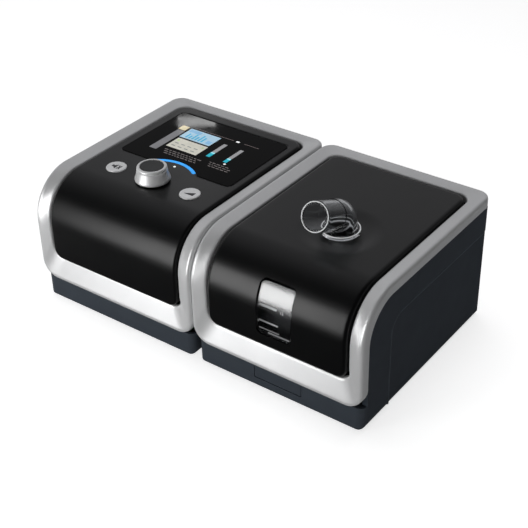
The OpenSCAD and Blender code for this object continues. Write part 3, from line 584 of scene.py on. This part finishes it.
def band_ring(x0, x1, side, front, rear, r_front, r_rear, h, front_drop=0.0):
    """One loop of a trim frame, inset from the outline; the front bar lies lower."""
    x0, x1, s0, s1 = x0 + side, x1 - side, front, SHEET_LEN - rear
    across, along, corner = 26, 120, 12
    drop_reach = r_front + 4 * MM
    out = []

    def add(x, s):
        out.append(on_body(x, s, h - front_drop * (1 - eased((s - s0) / drop_reach))))

    def line(xa, sa, xb, sb, count):
        for i in range(count):
            t = i / count
            add(xa + (xb - xa) * t, sa + (sb - sa) * t)

    def arc(cx, cs, r, start):
        for i in range(corner):
            a = start + HALF_PI * i / corner
            add(cx + r * cos(a), cs + r * sin(a))

    line(x0 + r_front, s0, x1 - r_front, s0, across)
    arc(x1 - r_front, s0 + r_front, r_front, -HALF_PI)
    line(x1, s0 + r_front, x1, s1 - r_rear, along)
    arc(x1 - r_rear, s1 - r_rear, r_rear, 0)
    line(x1 - r_rear, s1, x0 + r_rear, s1, across)
    arc(x0 + r_rear, s1 - r_rear, r_rear, HALF_PI)
    line(x0, s1 - r_rear, x0, s0 + r_front, along)
    arc(x0 + r_front, s0 + r_front, r_front, 2 * HALF_PI)
    return out


def trim_band(x0, x1):
    """The silver frame: an upright outer wall, a rounded ridge, and a face that falls inwards.

    The section is (inset, height) from the outline, then (inset, height, drop of the front bar)
    from the opening, in millimetres.
    """
    rings = []
    for inset, h in ((0.5, -8), (0.12, -7.9), (0, -7.4), (0, -2.6), (0.1, -1.7), (0.45, -0.85),
                     (1.0, -0.3), (1.7, -0.04), (2.4, 0), (3.2, -0.12), (4.2, -0.42)):
        d = inset * MM
        rings.append(band_ring(x0, x1, d, d, d, FRONT_R - d, REAR_R - d, h * MM))
    for inset, h, drop in ((2.2, -1.75, 2.1), (1.3, -1.98, 2.2), (0.7, -2.3, 2.2),
                           (0.25, -2.8, 2.1), (0, -3.6, 1.8), (0, -7.4, 0), (0.5, -8, 0)):
        d = inset * MM
        rings.append(band_ring(x0, x1, BAND_SIDE - d, BAND_FRONT - d, BAND_REAR - d,
                               OPENING_R + d, OPENING_R + d, h * MM, drop * MM))
    return bridged(rings)


def rod(low, high, r, edge=0.4 * MM, turns=40):
    """A round bar between two points, with rounded ends."""
    low, high = Vector(low), Vector(high)
    length = (high - low).length
    profile = [(0, 0), (r - edge, 0), (r - edge * 0.3, edge * 0.3), (r, edge),
               (r, length - edge), (r - edge * 0.3, length - edge * 0.3),
               (r - edge, length), (0, length)]
    return lathe(profile, low, turns, axis=(high - low).normalized())


def trim_frames():
    """The silver frames, with the main unit's screw posts and the lid's hinge knuckles."""
    post_r, post_top = 3.5 * MM, RIDGE_Z - 5 * MM
    posts = [rod((x, y, MAIN_LOW.z), (x, y, post_top), post_r)
             for x in (MAIN_LOW.x + 8.3 * MM, MAIN_HIGH.x - 8.2 * MM)
             for y in (-58 * MM, 70 * MM)]
    make("main_trim_frame_band", joined(trim_band(MAIN_LOW.x, MAIN_HIGH.x), *posts),
         SILVER, "main_unit", ("main_trim_frame",))

    pin = middle("hinge_pins")
    knuckle_r, half_len, root_z = 3.5 * MM, 6 * MM, RIDGE_Z - 7 * MM
    outline = [Vector((pin.y + knuckle_r * cos(a), pin.z + knuckle_r * sin(a)))
               for a in (-pi + pi * i / 16 for i in range(17))]
    outline += [Vector((pin.y + knuckle_r, root_z)), Vector((pin.y - knuckle_r, root_z))]
    knuckles = [plate(outline, x - half_len, x + half_len, 0.5 * MM,
                      lambda a, b, c: Vector((c, a, b)))
                for x in (LID_LOW.x + 26 * MM, LID_HIGH.x - 26 * MM)]
    make("lid_trim_frame_band", joined(trim_band(LID_LOW.x, LID_HIGH.x), *knuckles),
         SILVER, "lid", ("lid_trim_frame",))


# ---- Covers ----

def filled_rows(x0, s0, x1, s1, r, cols, rows):
    """Rows of places that fill a round-cornered area; also gives each row's outward direction."""
    steps = 7
    arc = [(cos(t), sin(t)) for t in (HALF_PI * i / steps for i in range(steps))]
    stations = [(s0 + r * (1 - c), r * (1 - s), (s, -c)) for c, s in arc]
    stations += [(s0 + r + (s1 - s0 - 2 * r) * i / rows, 0.0, (1.0, 0.0))
                 for i in range(rows + 1)]
    stations += [(s1 - r * (1 - c), r * (1 - s), (s, c)) for c, s in reversed(arc)]
    table = []
    for s, inset, out in stations:
        left, right = x0 + inset, x1 - inset
        table.append(([(left + (right - left) * i / cols, s) for i in range(cols + 1)], out))
    return table


def sheet_solid(x0, s0, x1, s1, r, profile, cols=40, rows=70, lift=None):
    """A closed solid that follows the bent surface.

    profile lists (outward offset, height) from the top face's rim to the underside's rim.
    lift adds height to the top face at a place.
    """
    table = filled_rows(x0, s0, x1, s1, r, cols, rows)
    (first, _), (last, _), between = table[0], table[-1], table[1:-1]
    rim = [(place, (0.0, -1.0)) for place in first]
    rim += [(row[-1], out) for row, out in between]
    rim += [(place, (0.0, 1.0)) for place in reversed(last)]
    rim += [(row[0], (-out[0], out[1])) for row, out in reversed(between)]
    on_rim = {}
    for k, ((x, s), _) in enumerate(rim):
        on_rim.setdefault((round(x, 7), round(s, 7)), k)

    def height(level, x, s):
        return profile[level][1] + (lift(x, s) if lift and level == 0 else 0.0)

    rings = [[on_body(x + out[0] * offset, s + out[1] * offset, height(level, x, s))
              for (x, s), out in rim] for level, (offset, _) in enumerate(profile)]
    verts, sides = bridged(rings, closed=False)
    faces = []
    centre_x, centre_s = (x0 + x1) / 2, (s0 + s1) / 2
    for level in (0, len(profile) - 1):
        grow_x = 1 + profile[level][0] / ((x1 - x0) / 2)
        grow_s = 1 + profile[level][0] / ((s1 - s0) / 2)
        grid = []
        for row, _ in table:
            grid.append([])
            for x, s in row:
                k = on_rim.get((round(x, 7), round(s, 7)))
                if k is not None:
                    grid[-1].append(level * len(rim) + k)
                    continue
                grid[-1].append(len(verts))
                verts.append(on_body(centre_x + (x - centre_x) * grow_x,
                                     centre_s + (s - centre_s) * grow_s, height(level, x, s)))
        faces += [(a[i], a[i + 1], b[i + 1], b[i])
                  for a, b in zip(grid, grid[1:]) for i in range(cols)]
    return verts, faces + sides


def cover_profile(fillet):
    """The edge of a cover: a rounded shoulder, an outer skirt, and the underside."""
    steps = 7
    foot = SKIN_H - COVER_SKIRT
    out = [(fillet * sin(HALF_PI * i / steps),
            SKIN_H - fillet * (1 - cos(HALF_PI * i / steps))) for i in range(steps + 1)]
    out += [(fillet, foot + 0.4 * MM), (fillet - 0.4 * MM, foot), (fillet - 1.6 * MM, foot),
            (fillet - 2.0 * MM, foot + 0.4 * MM), (fillet - 2.0 * MM, SKIN_H - COVER_WALL)]
    return out


def cover_skin(name, node, body, x0, x1, fillet, cutters, **grid):
    """A module's bent cover with its openings cut out, which stands for the CAD node."""
    side, front, rear = (band + COVER_GAP + fillet for band in (BAND_SIDE, BAND_FRONT, BAND_REAR))
    skin = sheet_solid(x0 + side, front, x1 - side, SHEET_LEN - rear, COVER_R - fillet,
                       cover_profile(fillet), **grid)
    cover = make(name, skin, BLACK, body, (node,))
    carve(cover, *cutters)
    smooth(cover)


def main_cover():
    """The control unit's cover, open for the screen, the lights, the knob and the buttons."""
    low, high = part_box("screen_glass")
    lcd_low, lcd_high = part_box("lcd_module")
    led_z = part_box("status_led")[0].z
    lcd_edge = 3 * MM
    openings = [(glass_outline(low, high, 0.18 * MM), low.z),
                (arc_outline(0.12 * MM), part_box("light_arc")[0].z - 1 * MM),
                (ring_round(middle("status_led"), 1.15 * MM, 24), led_z),
                (ring_round(KNOB, 4.5 * MM, 32), led_z),
                (ring_round(middle("mute_button"), 8.2 * MM, 64), led_z),
                (ring_round(middle("ramp_button"), 8.2 * MM, 64), led_z),
                (rect(lcd_low.x + lcd_edge, lcd_low.y + lcd_edge, lcd_high.x - lcd_edge,
                      lcd_high.y - lcd_edge), led_z)]
    cover_skin("main_cover_skin", "main_top_cover", "main_unit", MAIN_LOW.x, MAIN_HIGH.x, 1.9 * MM,
               [plate(outline, z, SKIN_Z + 2 * MM) for outline, z in openings])


def dish(x, s):
    """Shallow round dish about the outlet elbow."""
    y = s - FLAT_LEN - BEND_LEN + ARC_Y
    distance = hypot(x - ELBOW.x, y - ELBOW.y)
    inner, outer, depth = 16 * MM, 31 * MM, 1.7 * MM
    return -depth * (1 - eased((distance - inner) / (outer - inner)))


def lid_cover():
    """The humidifier's cover, open for the window and the outlet elbow."""
    low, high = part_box("lid_window")
    grow, below = 0.3 * MM, 1.3 * MM
    window = plate(rounded(rect(low.x - grow, low.z - below, high.x + grow, high.z + grow),
                           4.5 * MM),
                   FRONT_Y - 5 * MM, FRONT_Y + 16 * MM, 0, lambda a, b, c: Vector((a, c, b)))
    hole = plate(ring_round(ELBOW, 11.3 * MM, 72), SKIN_Z - 6 * MM, SKIN_Z + 3 * MM)
    cover_skin("lid_cover_skin", "lid_cover", "lid", LID_LOW.x, LID_HIGH.x, 2.9 * MM,
               [window, hole], cols=72, rows=112, lift=dish)


def lid_window():
    """The clear pane, which lies a little below the cover's surface."""
    low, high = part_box("lid_window")
    rim, inset, lower = 0.25 * MM, 0.9 * MM, 1.2 * MM
    shape = sheet_solid(low.x + inset, s_of_z(low.z) + inset - lower, high.x - inset,
                        s_of_z(high.z) - inset, 3.6 * MM,
                        [(0, SKIN_H - 0.8 * MM), (0.15 * MM, SKIN_H - 0.86 * MM),
                         (rim, SKIN_H - 1.05 * MM), (rim, SKIN_H - 2.3 * MM),
                         (0, SKIN_H - 2.5 * MM)], cols=14, rows=22)
    pane = make("lid_window_pane", shape, PANE, "lid", ("lid_window",))
    pane.visible_shadow = False


def level_marks():
    """Four ribs and two short strokes, moulded on the front of the water chamber."""
    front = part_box("water_chamber")[0].y

    def mark(x0, z0, x1, z1, sunk, r, edge, turns):
        y = front - sunk * MM
        return rod((x0 * MM, y, z0 * MM), (x1 * MM, y, z1 * MM), r * MM, edge * MM, turns)

    marks = [mark(x0, z, x1, z, 0.35, r, 0.25, 20)
             for x0, x1, z, r in ((54.1, 68.2, 64.4, 0.75), (53.4, 69.2, 51.4, 0.55),
                                  (53.4, 70.2, 45.1, 0.35), (61, 78.3, 43.0, 0.55))]
    marks += [mark(x, 62, x, 64.6, 0.2, 0.22, 0.08, 12) for x in (71.6, 73.2)]
    # The marks' pale colour is print; their faint glow is painted light standing in for lamp light
    # the pane keeps off them.
    make("water_chamber_marks", joined(*marks), PRINT_AND_PAINTED_GLOW, "humidifier")


# ---- Screen and controls ----

def round_knob(r, angle):
    """The point (x, y) at a radius from the knob's axis, at an angle from straight behind it."""
    return Vector((KNOB.x + r * sin(angle), KNOB.y + r * cos(angle)))


def glass_outline(low, high, grow):
    """Outline of the screen glass, which leaves room for the light arc round the knob."""
    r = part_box("light_arc")[1].y - KNOB.y + 0.15 * MM - grow
    x0, x1, y0, y1 = low.x - grow, high.x + grow, low.y - grow, high.y + grow
    half = acos((y0 - KNOB.y) / r)
    corner, steps, arc_steps = 3.5 * MM, 6, 28
    out = []
    for cx, cy, start in ((x1 - corner, y0 + corner, -HALF_PI), (x1 - corner, y1 - corner, 0),
                          (x0 + corner, y1 - corner, HALF_PI),
                          (x0 + corner, y0 + corner, pi)):
        for i in range(steps + 1):
            a = start + HALF_PI * i / steps
            out.append(Vector((cx + corner * cos(a), cy + corner * sin(a))))
    return out + [round_knob(r, -half + 2 * half * i / arc_steps) for i in range(arc_steps + 1)]


def arc_outline(grow):
    """Outline of the light arc: part of a ring with round ends."""
    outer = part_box("light_arc")[1].y - KNOB.y
    inner = outer - 2.8 * MM
    half = radians(36)
    mid, thick = (inner + outer) / 2, (outer - inner) / 2 + grow
    steps, cap_steps = 24, 8

    def side(r, first, last):
        return [round_knob(r, first + (last - first) * i / steps) for i in range(steps + 1)]

    def cap(end, turn):
        centre = round_knob(mid, end)
        radial = Vector((sin(end), cos(end)))
        along = Vector((cos(end), -sin(end))) * turn
        return [centre + radial * thick * cos(t) + along * thick * sin(t)
                for t in (pi * i / cap_steps for i in range(1, cap_steps))]

    return (side(mid + thick, half, -half) + cap(-half, -1)
            + side(mid - thick, -half, half) + cap(half, 1)[::-1])


def screen():
    """The glass and the two lights beside it."""
    low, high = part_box("screen_glass")
    make("screen_glass_pane", plate(glass_outline(low, high, 0.0), low.z, high.z, 0.3 * MM),
         GLASS, "main_unit", ("screen_glass",))
    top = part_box("light_arc")[1].z
    make("light_arc_lens", plate(arc_outline(0.0), top - 3 * MM, top, 0.35 * MM),
         BLUE_LIGHT, "main_unit", ("light_arc",))
    centre, top = middle("status_led"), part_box("status_led")[1].z
    make("status_led_lens",
         lathe([(0, top - 6 * MM), (1 * MM, top - 6 * MM), (1 * MM, top - 0.3 * MM),
                (0.85 * MM, top - 0.1 * MM), (0.5 * MM, top), (0, top)],
               (centre.x, centre.y, 0), 32),
         WHITE_LIGHT, "main_unit", ("status_led",))


def picture(name, colour, power, level, bars):
    """Lit bars of the display, a hair above the glass; a higher level lies on top."""
    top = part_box("screen_glass")[1].z + (0.03 + 0.012 * level) * MM
    parts = [plate(bar(*ends), top, top + 0.012 * MM) for ends in bars]
    look = glowing("display_" + name, colour, power, 0.07, 9, 0.05)
    make("display_" + name, joined(*parts), look, "main_unit")


def bar(x0, y0, x1, y1, r=0.0):
    """A rectangle in millimetres, as an outline in metres."""
    corners = rect(x0 * MM, y0 * MM, x1 * MM, y1 * MM)
    return rounded(corners, r * MM, 4) if r else corners


def strokes(lines, left, step, right, least, more, key, gap, tall):
    """Rows of short plain strokes of mixed length; key settles how the lengths vary."""
    out = []
    for row, y in enumerate(lines):
        x = left + step * row
        while x < right:
            length = least + more * ((row * key[0] + int(-x * key[1])) % 4) / 3
            out.append((x, y, x + length, y + tall))
            x += length + gap
    return out


def display():
    """The lit picture: a chart card, a list card, two level bars and plain marks.

    Each row is (name, colour, power, level, bars), and each bar (x0, y0, x1, y1, corner radius).
    """
    heights = enumerate((5.5, 3.2, 7.0, 4.4, 8.4, 6.0))
    chart = [(-94 + 3.0 * i, 31.0, -94 + 3.0 * i + 1.6, 32.6 + h) for i, h in heights]
    dashes = [(-94.5 + 6.2 * i, y, -91 + 6.2 * i, y + 1.1) for i in range(4) for y in (15, 19.4)]
    marks = strokes((7.2, 4.6, 2.0), -94.5, 1.6, -62, 1.4, 2.2, (5, 3), 1.1, 0.9)
    marks += strokes((9.6, 7.0, 4.4), -52.5, 1.2, -34, 1.2, 1.8, (7, 2), 1.0, 0.8)
    for row in (
            ("column", (0.17, 0.17, 0.18), 0.6, 0, [(-106.8, 3.2, -99.8, 38.4, 0.6)]),
            ("tab", (0.55, 0.48, 0.30), 0.6, 0, [(-107.6, 39.2, -100.6, 46.2, 0.8)]),
            ("chart_card", (0.34, 0.50, 0.62), 0.6, 0, [(-98.3, 29.4, -68.6, 45.2, 0.4)]),
            ("list_card", (0.52, 0.51, 0.45), 0.6, 0, [(-97.2, 12.0, -67.8, 27.6, 0.4)]),
            ("line", (0.16, 0.13, 0.13), 0.8, 0, [(-97, 47.2, -58, 47.6), (-48, 47.2, -34, 47.6)]),
            ("chart_bars", (0.06, 0.33, 0.50), 0.85, 1, chart),
            ("chart_fill", (0.20, 0.40, 0.60), 0.6, 1,
             [(-97.4, 40.0, -86, 44.2, 0.4), (-74.6, 31.2, -70, 36, 0.4)]),
            ("list_marks", (0.22, 0.23, 0.22), 0.7, 1, dashes),
            ("list_dots", (0.34, 0.44, 0.22), 0.8, 1,
             [(-95.6, 23.2, -93.4, 25.4, 0.6), (-71.4, 23.2, -69.6, 25.2, 0.6)]),
            ("slider_tracks", (0.25, 0.25, 0.26), 0.75, 0,
             [(-61.0, 23.6, -57.4, 38.8, 0.5), (-44.6, 22.6, -41.2, 38.2, 0.5)]),
            ("slider_fills", (0.02, 0.30, 0.38), 0.95, 0,
             [(-61.0, 15.8, -57.4, 23.4, 0.5), (-44.6, 15.8, -41.2, 22.4, 0.5)]),
            ("slider_lights", (0.25, 0.55, 0.62), 0.9, 1,
             [(-61.0, 21.6, -57.4, 23.4, 0.4), (-44.6, 20.6, -41.2, 22.4, 0.4)]),
            ("dot", (0.75, 0.76, 0.76), 0.9, 0,
             [(-42.0, 12.6, -40.0, 14.4, 0.8), (-55.6, 46.4, -52.6, 48.4, 0.5)]),
            ("marks", (0.14, 0.125, 0.125), 0.75, 0, marks)):
        picture(*row)


def knob():
    """The turned metal knob, to a profile in millimetres from its underside, and its dark cap."""
    low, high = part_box("control_knob")
    base, r, profile_r = low.z, (high.x - low.x) / 2, 13.35
    profile = [(3.0, 0.6), (11.9, 0.0), (12.9, 0.15), (13.2, 0.5), (profile_r, 1.1), (13.22, 1.9),
               (12.78, 3.1), (12.25, 4.6), (11.82, 6.1), (11.52, 7.6), (11.40, 8.5),
               (11.15, 8.75), (10.95, 8.9), (10.95, 9.15), (11.2, 9.35), (11.30, 9.6),
               (11.22, 10.2), (10.95, 10.75), (10.5, 11.1), (9.9, 11.2), (9.35, 11.15),
               (9.1, 10.95), (9.05, 10.3), (3.0, 10.25)]
    scale = r / (profile_r * MM)
    turned = [(a * MM * scale, base + b * MM) for a, b in profile]
    make("control_knob_turned", lathe(turned, (KNOB.x, KNOB.y, 0), 128), KNOB_METAL, "knob",
         ("control_knob",), 32)
    low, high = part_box("knob_cap")
    r = (high.x - low.x) / 2
    top = high.z
    make("knob_cap_disc",
         lathe([(0, low.z), (r - 0.2 * MM, low.z), (r, low.z + 0.2 * MM),
                (r, top - 0.35 * MM), (r - 0.25 * MM, top - 0.12 * MM),
                (r - 0.7 * MM, top - 0.02 * MM), (r * 0.55, top - 0.12 * MM), (0, top - 0.16 * MM)],
               (KNOB.x, KNOB.y, 0), 96),
         CAP, "knob", ("knob_cap",))


def buttons():
    """Two dished round buttons, each with a stem, a collar under the cover and a generic icon."""
    speaker = [[(-3.9, -1.2), (-2.2, -1.2), (-2.2, 1.2), (-3.9, 1.2)],
               [(-1.95, -1.3), (0.2, -3.0), (0.2, 3.0), (-1.95, 1.3)],
               [(1.1, -2.1), (1.8, -2.7), (4.3, 2.1), (3.6, 2.7)],
               [(3.6, -2.7), (4.3, -2.1), (1.8, 2.7), (1.1, 2.1)]]
    wedge = [[(-4.0, -1.9), (3.8, -1.9), (3.8, 2.4)]]
    r, stem_r, seat_r, collar_r = 7.9 * MM, 1.5 * MM, 2.5 * MM, 9.2 * MM
    for node, icon in (("mute_button", speaker), ("ramp_button", wedge)):
        low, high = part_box(node)
        centre, top = (low + high) / 2, high.z
        profile = [(0, low.z), (stem_r - 0.2 * MM, low.z), (stem_r, low.z + 0.2 * MM),
                   (stem_r, 96.2 * MM), (seat_r, 96.25 * MM), (seat_r, 99.2 * MM),
                   (collar_r, 99.2 * MM), (collar_r, 100.5 * MM), (r, 100.7 * MM),
                   (r, top - 0.75 * MM), (r - 0.12 * MM, top - 0.4 * MM),
                   (r - 0.4 * MM, top - 0.12 * MM), (r - 0.9 * MM, top),
                   (r - 1.7 * MM, top - 0.06 * MM), (r * 0.5, top - 0.26 * MM),
                   (0, top - 0.32 * MM)]
        make(node + "_disc", lathe(profile, (centre.x, centre.y, 0), 96), BUTTON, node,
             (node,))
        face = top - 0.27 * MM
        shapes = [plate([Vector((centre.x + x * MM, centre.y + y * MM)) for x, y in points],
                        face, face + 0.12 * MM) for points in icon]
        make(node + "_icon", joined(*shapes), INK, node)


# ---- Outlet elbow ----

def elbow():
    """Clear swivel elbow: a flanged upright tube that bends into the hose connector.

    Its sections are listed as (place along the tube, outer radius, bore radius), in millimetres.
    """
    mount = next(m for m in frame["record"]["mounts"] if m["name"] == "air_outlet")
    axis = Vector(mount["axis"]).normalized()
    tilt = axis.angle(Vector((0, 0, 1)))
    mouth_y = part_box("outlet_elbow")[0].y + mount["dims"]["r_mm"] * MM * cos(tilt)
    base = Vector((ELBOW.x, ELBOW.y, 0))
    bend_z = mount["pos_m"][2] - (mount["pos_m"][1] - ELBOW.y) / axis.y * axis.z
    corner = base + Vector((0, 0, bend_z))
    end = corner + axis * ((mouth_y - ELBOW.y) / axis.y)
    bend_r, tube_r, bore_r, bend_steps, turns = 9 * MM, 11.5 * MM, 9 * MM, 14, 72
    setback = bend_r * tan(tilt / 2)

    def straight(origin, way, *sections):
        return [(origin + way * place * MM, way, r * MM, bore * MM) for place, r, bore in sections]

    spine = straight(base, Vector((0, 0, 1)), (96, 10.7, 9), (96.3, 11, 9), (103.4, 11, 9),
                     (103.5, 14, 9), (103.8, 14.1, 9), (105.2, 14.1, 9), (105.6, 13.8, 9),
                     (105.8, 13.2, 9), (106.1, 12, 9), (106.6, 11.6, 9), (108, 11.5, 9))
    hinge = base + Vector((0, -bend_r, bend_z - setback))
    for i in range(bend_steps + 1):
        a = tilt * i / bend_steps
        spine.append((hinge + Vector((0, cos(a), sin(a))) * bend_r,
                      Vector((0, -sin(a), cos(a))), tube_r, bore_r))
    spine += straight(corner + axis * setback, axis, (2, 11.4, 9), (6.4, 11.4, 9),
                      (6.8, 11, 9), (14, 11, 9))
    spine += straight(end, axis, (-3.4, 10.95, 9), (-0.5, 10.9, 9), (-0.15, 10.75, 9),
                      (0, 10.4, 9.1))
    across = Vector((1, 0, 0))
    outer, inner = [], []
    for spot, way, r, bore in spine:
        side = across.cross(way)
        for radius, rings in ((r, outer), (bore, inner)):
            rings.append([spot + across * radius * cos(2 * pi * i / turns)
                          + side * radius * sin(2 * pi * i / turns)
                          for i in range(turns)])
    make("outlet_elbow_tube", bridged(outer + inner[::-1]), CLEAR, "elbow",
         ("outlet_elbow",), 40)
    mouth = lathe([(9.8 * MM, 0), (10.5 * MM, 0), (10.45 * MM, 0.12 * MM),
                   (9.85 * MM, 0.12 * MM)], end - axis * 0.05 * MM, 96, axis)
    collar = lathe([(13.1 * MM, 105.6 * MM), (13.2 * MM, 105.9 * MM), (13.6 * MM, 105.95 * MM),
                    (13.95 * MM, 105.7 * MM), (13.9 * MM, 105.3 * MM)], base, 96)
    # The mouth ring and the flange-edge ring are pale and faintly glowing: painted highlights on
    # the elbow's rims, the mouth ring also a frosted edge.
    make("outlet_elbow_rim", mouth, FROSTED_AND_PAINTED_HIGHLIGHT, "elbow")
    make("outlet_elbow_flange_edge", collar, PRINT_AND_PAINTED_GLOW, "elbow")


# ---- Casings, feet and small parts ----

def crowned_panel(outer_x, inward):
    """Gives the casing's recessed side panel a low crown, deepest along its front and top."""
    plane = outer_x + inward * PANEL_STEP
    on_plane, on_edge, on_arc = 0.01 * MM, 0.05 * MM, 0.1 * MM
    margin, depth = 3.6 * MM, 0.9 * MM

    def along_step(point):
        y, z = point.y - PANEL_FRONT_Y, PANEL_TOP_Z - point.z
        return min(y, z) < on_edge or (
            max(y, z) < PANEL_R and abs(hypot(y - PANEL_R, z - PANEL_R) - PANEL_R) < on_arc)

    def reshape(bm):
        panel = [f for f in bm.faces if all(abs(v.co.x - plane) < on_plane for v in f.verts)]
        edge = {v for f in panel for v in f.verts if along_step(v.co)}
        bmesh.ops.inset_region(bm, faces=panel, thickness=margin, use_even_offset=True)
        for vert in edge:
            vert.co.x += inward * depth

    return reshape


def casings():
    """The casings and small moulded parts, with their edges rounded."""
    for node, body, side in CASES:
        outer_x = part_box(node)[side].x
        softened(node, node + "_shell", SLATE, body, 0.6 * MM, 3,
                 crowned_panel(outer_x, 1 - 2 * side))
    for node, suffix, look, body, slot, width, segments in (
            ("release_button", "_key", SLATE, "release_button", "slate_plastic", 0.5, 3),
            ("filter_cap", "_grille", SLATE, "filter_cap", "slate_plastic", 0.35, 2),
            ("dc_inlet", "_socket", COMPONENT, "main_unit", "component_plastic", 0.3, 2),
            ("memory_card", "_body", CARD, "memory_card", "card_plastic", 0.3, 2)):
        softened(node, node + suffix, look, body, width * MM, segments)


def panel_lips():
    """The rounded lip along the front and top of each casing's recessed side panel, in a lighter
    slate that paints its highlight.
    """
    r, turns, bend_steps = 1.3 * MM, 12, 10
    for node, body, side in CASES:
        low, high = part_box(node)
        x = (low, high)[side].x + (1 - 2 * side) * PANEL_STEP
        front, top, bend = PANEL_FRONT_Y + r, PANEL_TOP_Z - r, PANEL_R - r
        path = [(front, low.z + 1.2 * MM, 0), (front, top - bend, 0)]
        path += [(front + bend * (1 - cos(a)), top - bend * (1 - sin(a)), a)
                 for a in (HALF_PI * i / bend_steps for i in range(1, bend_steps))]
        path += [(front + bend, top, HALF_PI), (high.y - 6 * MM, top, HALF_PI)]
        rings = [[Vector((x + r * cos(a), y + r * sin(a) * cos(turn),
                          z - r * sin(a) * sin(turn)))
                  for a in (2 * pi * i / turns for i in range(turns))]
                 for y, z, turn in path]
        make(node + "_lip", bridged(rings, closed=False, caps=(0, len(rings) - 1)), SLATE_PAINTED_LIGHT,
             body)


def feet():
    """Rubber feet with a ribbed sole."""
    r, height = 6.0, 2.5
    profile = [(0, 0.5), (1.6, 0.5), (1.9, 0.1), (2.2, 0), (3.4, 0), (3.6, 0.4), (3.9, 0.4),
               (4.1, 0), (5.0, 0), (5.4, 0.25), (5.7, 1.1), (r, height), (0, height)]
    profile = [(a * MM, b * MM) for a, b in profile]
    r *= MM
    for node, body in (("main_feet", "main_unit"), ("humidifier_feet", "humidifier")):
        low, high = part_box(node)
        parts = [lathe(profile, (x, y, 0), 48)
                 for x in (low.x + r, high.x - r) for y in (low.y + r, high.y - r)]
        make(node + "_pads", joined(*parts), RUBBER, body, (node,))


# ---- Stage ----

def stage():
    """A pale paper floor and wall, soft lamps, and a world that is brightest at the rear left."""
    look = Look("floor_paper", Emission_Strength=0.72, Emission_Color=(1, 1, 1, 1))
    look.shade(look.noise(0.3, 2), (0.84, 0.84, 0.84), 0.01)
    look.rough(look.noise(0.1, 2), 0.9, 0.95)
    reach, wall_z = 4.0, 12.0
    corners = [(-reach, -reach, 0), (reach, -reach, 0), (reach, reach, 0), (-reach, reach, 0)]
    sheet_of_paper("floor", corners, [(0, 1, 2, 3)], look)
    wall = sheet_of_paper("wall", corners + [(x, y, wall_z) for x, y, _ in corners],
                          [(i, (i + 1) % 4, (i + 1) % 4 + 4, i + 4) for i in range(4)], look)
    wall.visible_diffuse = False

    lamp("softbox", (-0.34, -0.68, 0.17), (-0.34, 0, 0.17), 0.40, 0.50, 3.9)
    lamp("low_card", (-0.78, -0.25, -0.20), (0, -0.085, 0.05), 0.36, 0.36, 1.0)
    lamp("overhead", (0, 0.10, 0.90), (0, 0, 0), 0.60, 0.60, 2.0, False)
    lamp("left_fill", (-0.95, -0.25, 0.30), (0, -0.05, 0.05), 0.70, 0.50, 0.8, False)
    lamp("strip", (-0.651, 0.701, 0.526), (-0.1, 0.058, 0.102), 0.060, 0.018, 11.0)
    lamp("front_fill", (0.10, -1.30, 0.15), (0, -0.085, 0.05), 0.50, 0.50, 5.0, False)

    world = bpy.data.worlds.new("studio")
    bpy.context.scene.world = world
    world.use_nodes = True
    nodes, links = world.node_tree.nodes, world.node_tree.links
    way = nodes.new("ShaderNodeTexCoord")
    dot = nodes.new("ShaderNodeVectorMath")
    dot.operation = "DOT_PRODUCT"
    dot.inputs[1].default_value = Vector((-0.5, 0.666, 0.3)).normalized()
    links.new(way.outputs["Generated"], dot.inputs[0])
    ramp = nodes.new("ShaderNodeValToRGB")
    elements = ramp.color_ramp.elements
    stops = ((0.22, 0.02), (0.5, 0.17), (0.72, 0.35), (1.0, 0.37))
    elements.new(0.4)
    elements.new(0.6)
    for i, (position, grey) in enumerate(stops):
        elements[i].position = position
        elements[i].color = (grey, grey, grey * 1.03, 1)
    links.new(dot.outputs["Value"], ramp.inputs["Fac"])
    links.new(ramp.outputs["Color"], nodes["Background"].inputs["Color"])


def sheet_of_paper(name, verts, faces, look):
    """A backdrop sheet that throws no shadow and isn't seen in gloss or through plastic."""
    mesh = bpy.data.meshes.new(name)
    mesh.from_pydata(verts, [], faces)
    mesh.materials.append(look.material)
    sheet = linked(name, mesh)
    sheet.visible_glossy = sheet.visible_transmission = sheet.visible_shadow = False
    return sheet


def lamp(name, place, target, width, height, radiance, mirrored=True):
    """A soft rectangular light that the camera doesn't see."""
    light = bpy.data.lights.new(name, "AREA")
    light.shape = "RECTANGLE"
    light.size, light.size_y = width, height
    light.energy = radiance * pi * width * height
    shade = linked(name, light)
    shade.matrix_world = looking(Vector(place), Vector(target), 0)
    shade.visible_camera = False
    shade.visible_glossy = mirrored


def looking(place, target, roll):
    """Matrix of a lamp or camera at a place that faces a target."""
    back = (place - target).normalized()
    right = Vector((0, 0, 1)).cross(back).normalized()
    up = back.cross(right)
    across = right * cos(roll) + up * sin(roll)
    upward = up * cos(roll) - right * sin(roll)
    turn = Matrix((across, upward, back)).transposed().to_4x4()
    return Matrix.Translation(place) @ turn


def camera():
    data = bpy.data.cameras.new("camera")
    data.lens = 79.67
    data.sensor_width = 36
    data.clip_start, data.clip_end = 0.01, 20
    view = linked("camera", data)
    azimuth, elevation, distance = radians(36.92), radians(33.6), 0.85769
    target = Vector((0.01577, -0.01570, 0.05118))
    back = Vector((sin(azimuth) * cos(elevation),
                   -cos(azimuth) * cos(elevation), sin(elevation)))
    view.matrix_world = looking(target + back * distance, target, radians(-1.35))
    bpy.context.scene.camera = view
    bpy.context.scene.view_settings.view_transform = "Standard"


camera()
stage()
finish_cad_nodes()
trim_frames()
main_cover()
lid_cover()
lid_window()
level_marks()
screen()
display()
knob()
buttons()
elbow()
casings()
panel_lips()
feet()

bpy.context.view_layer.update()
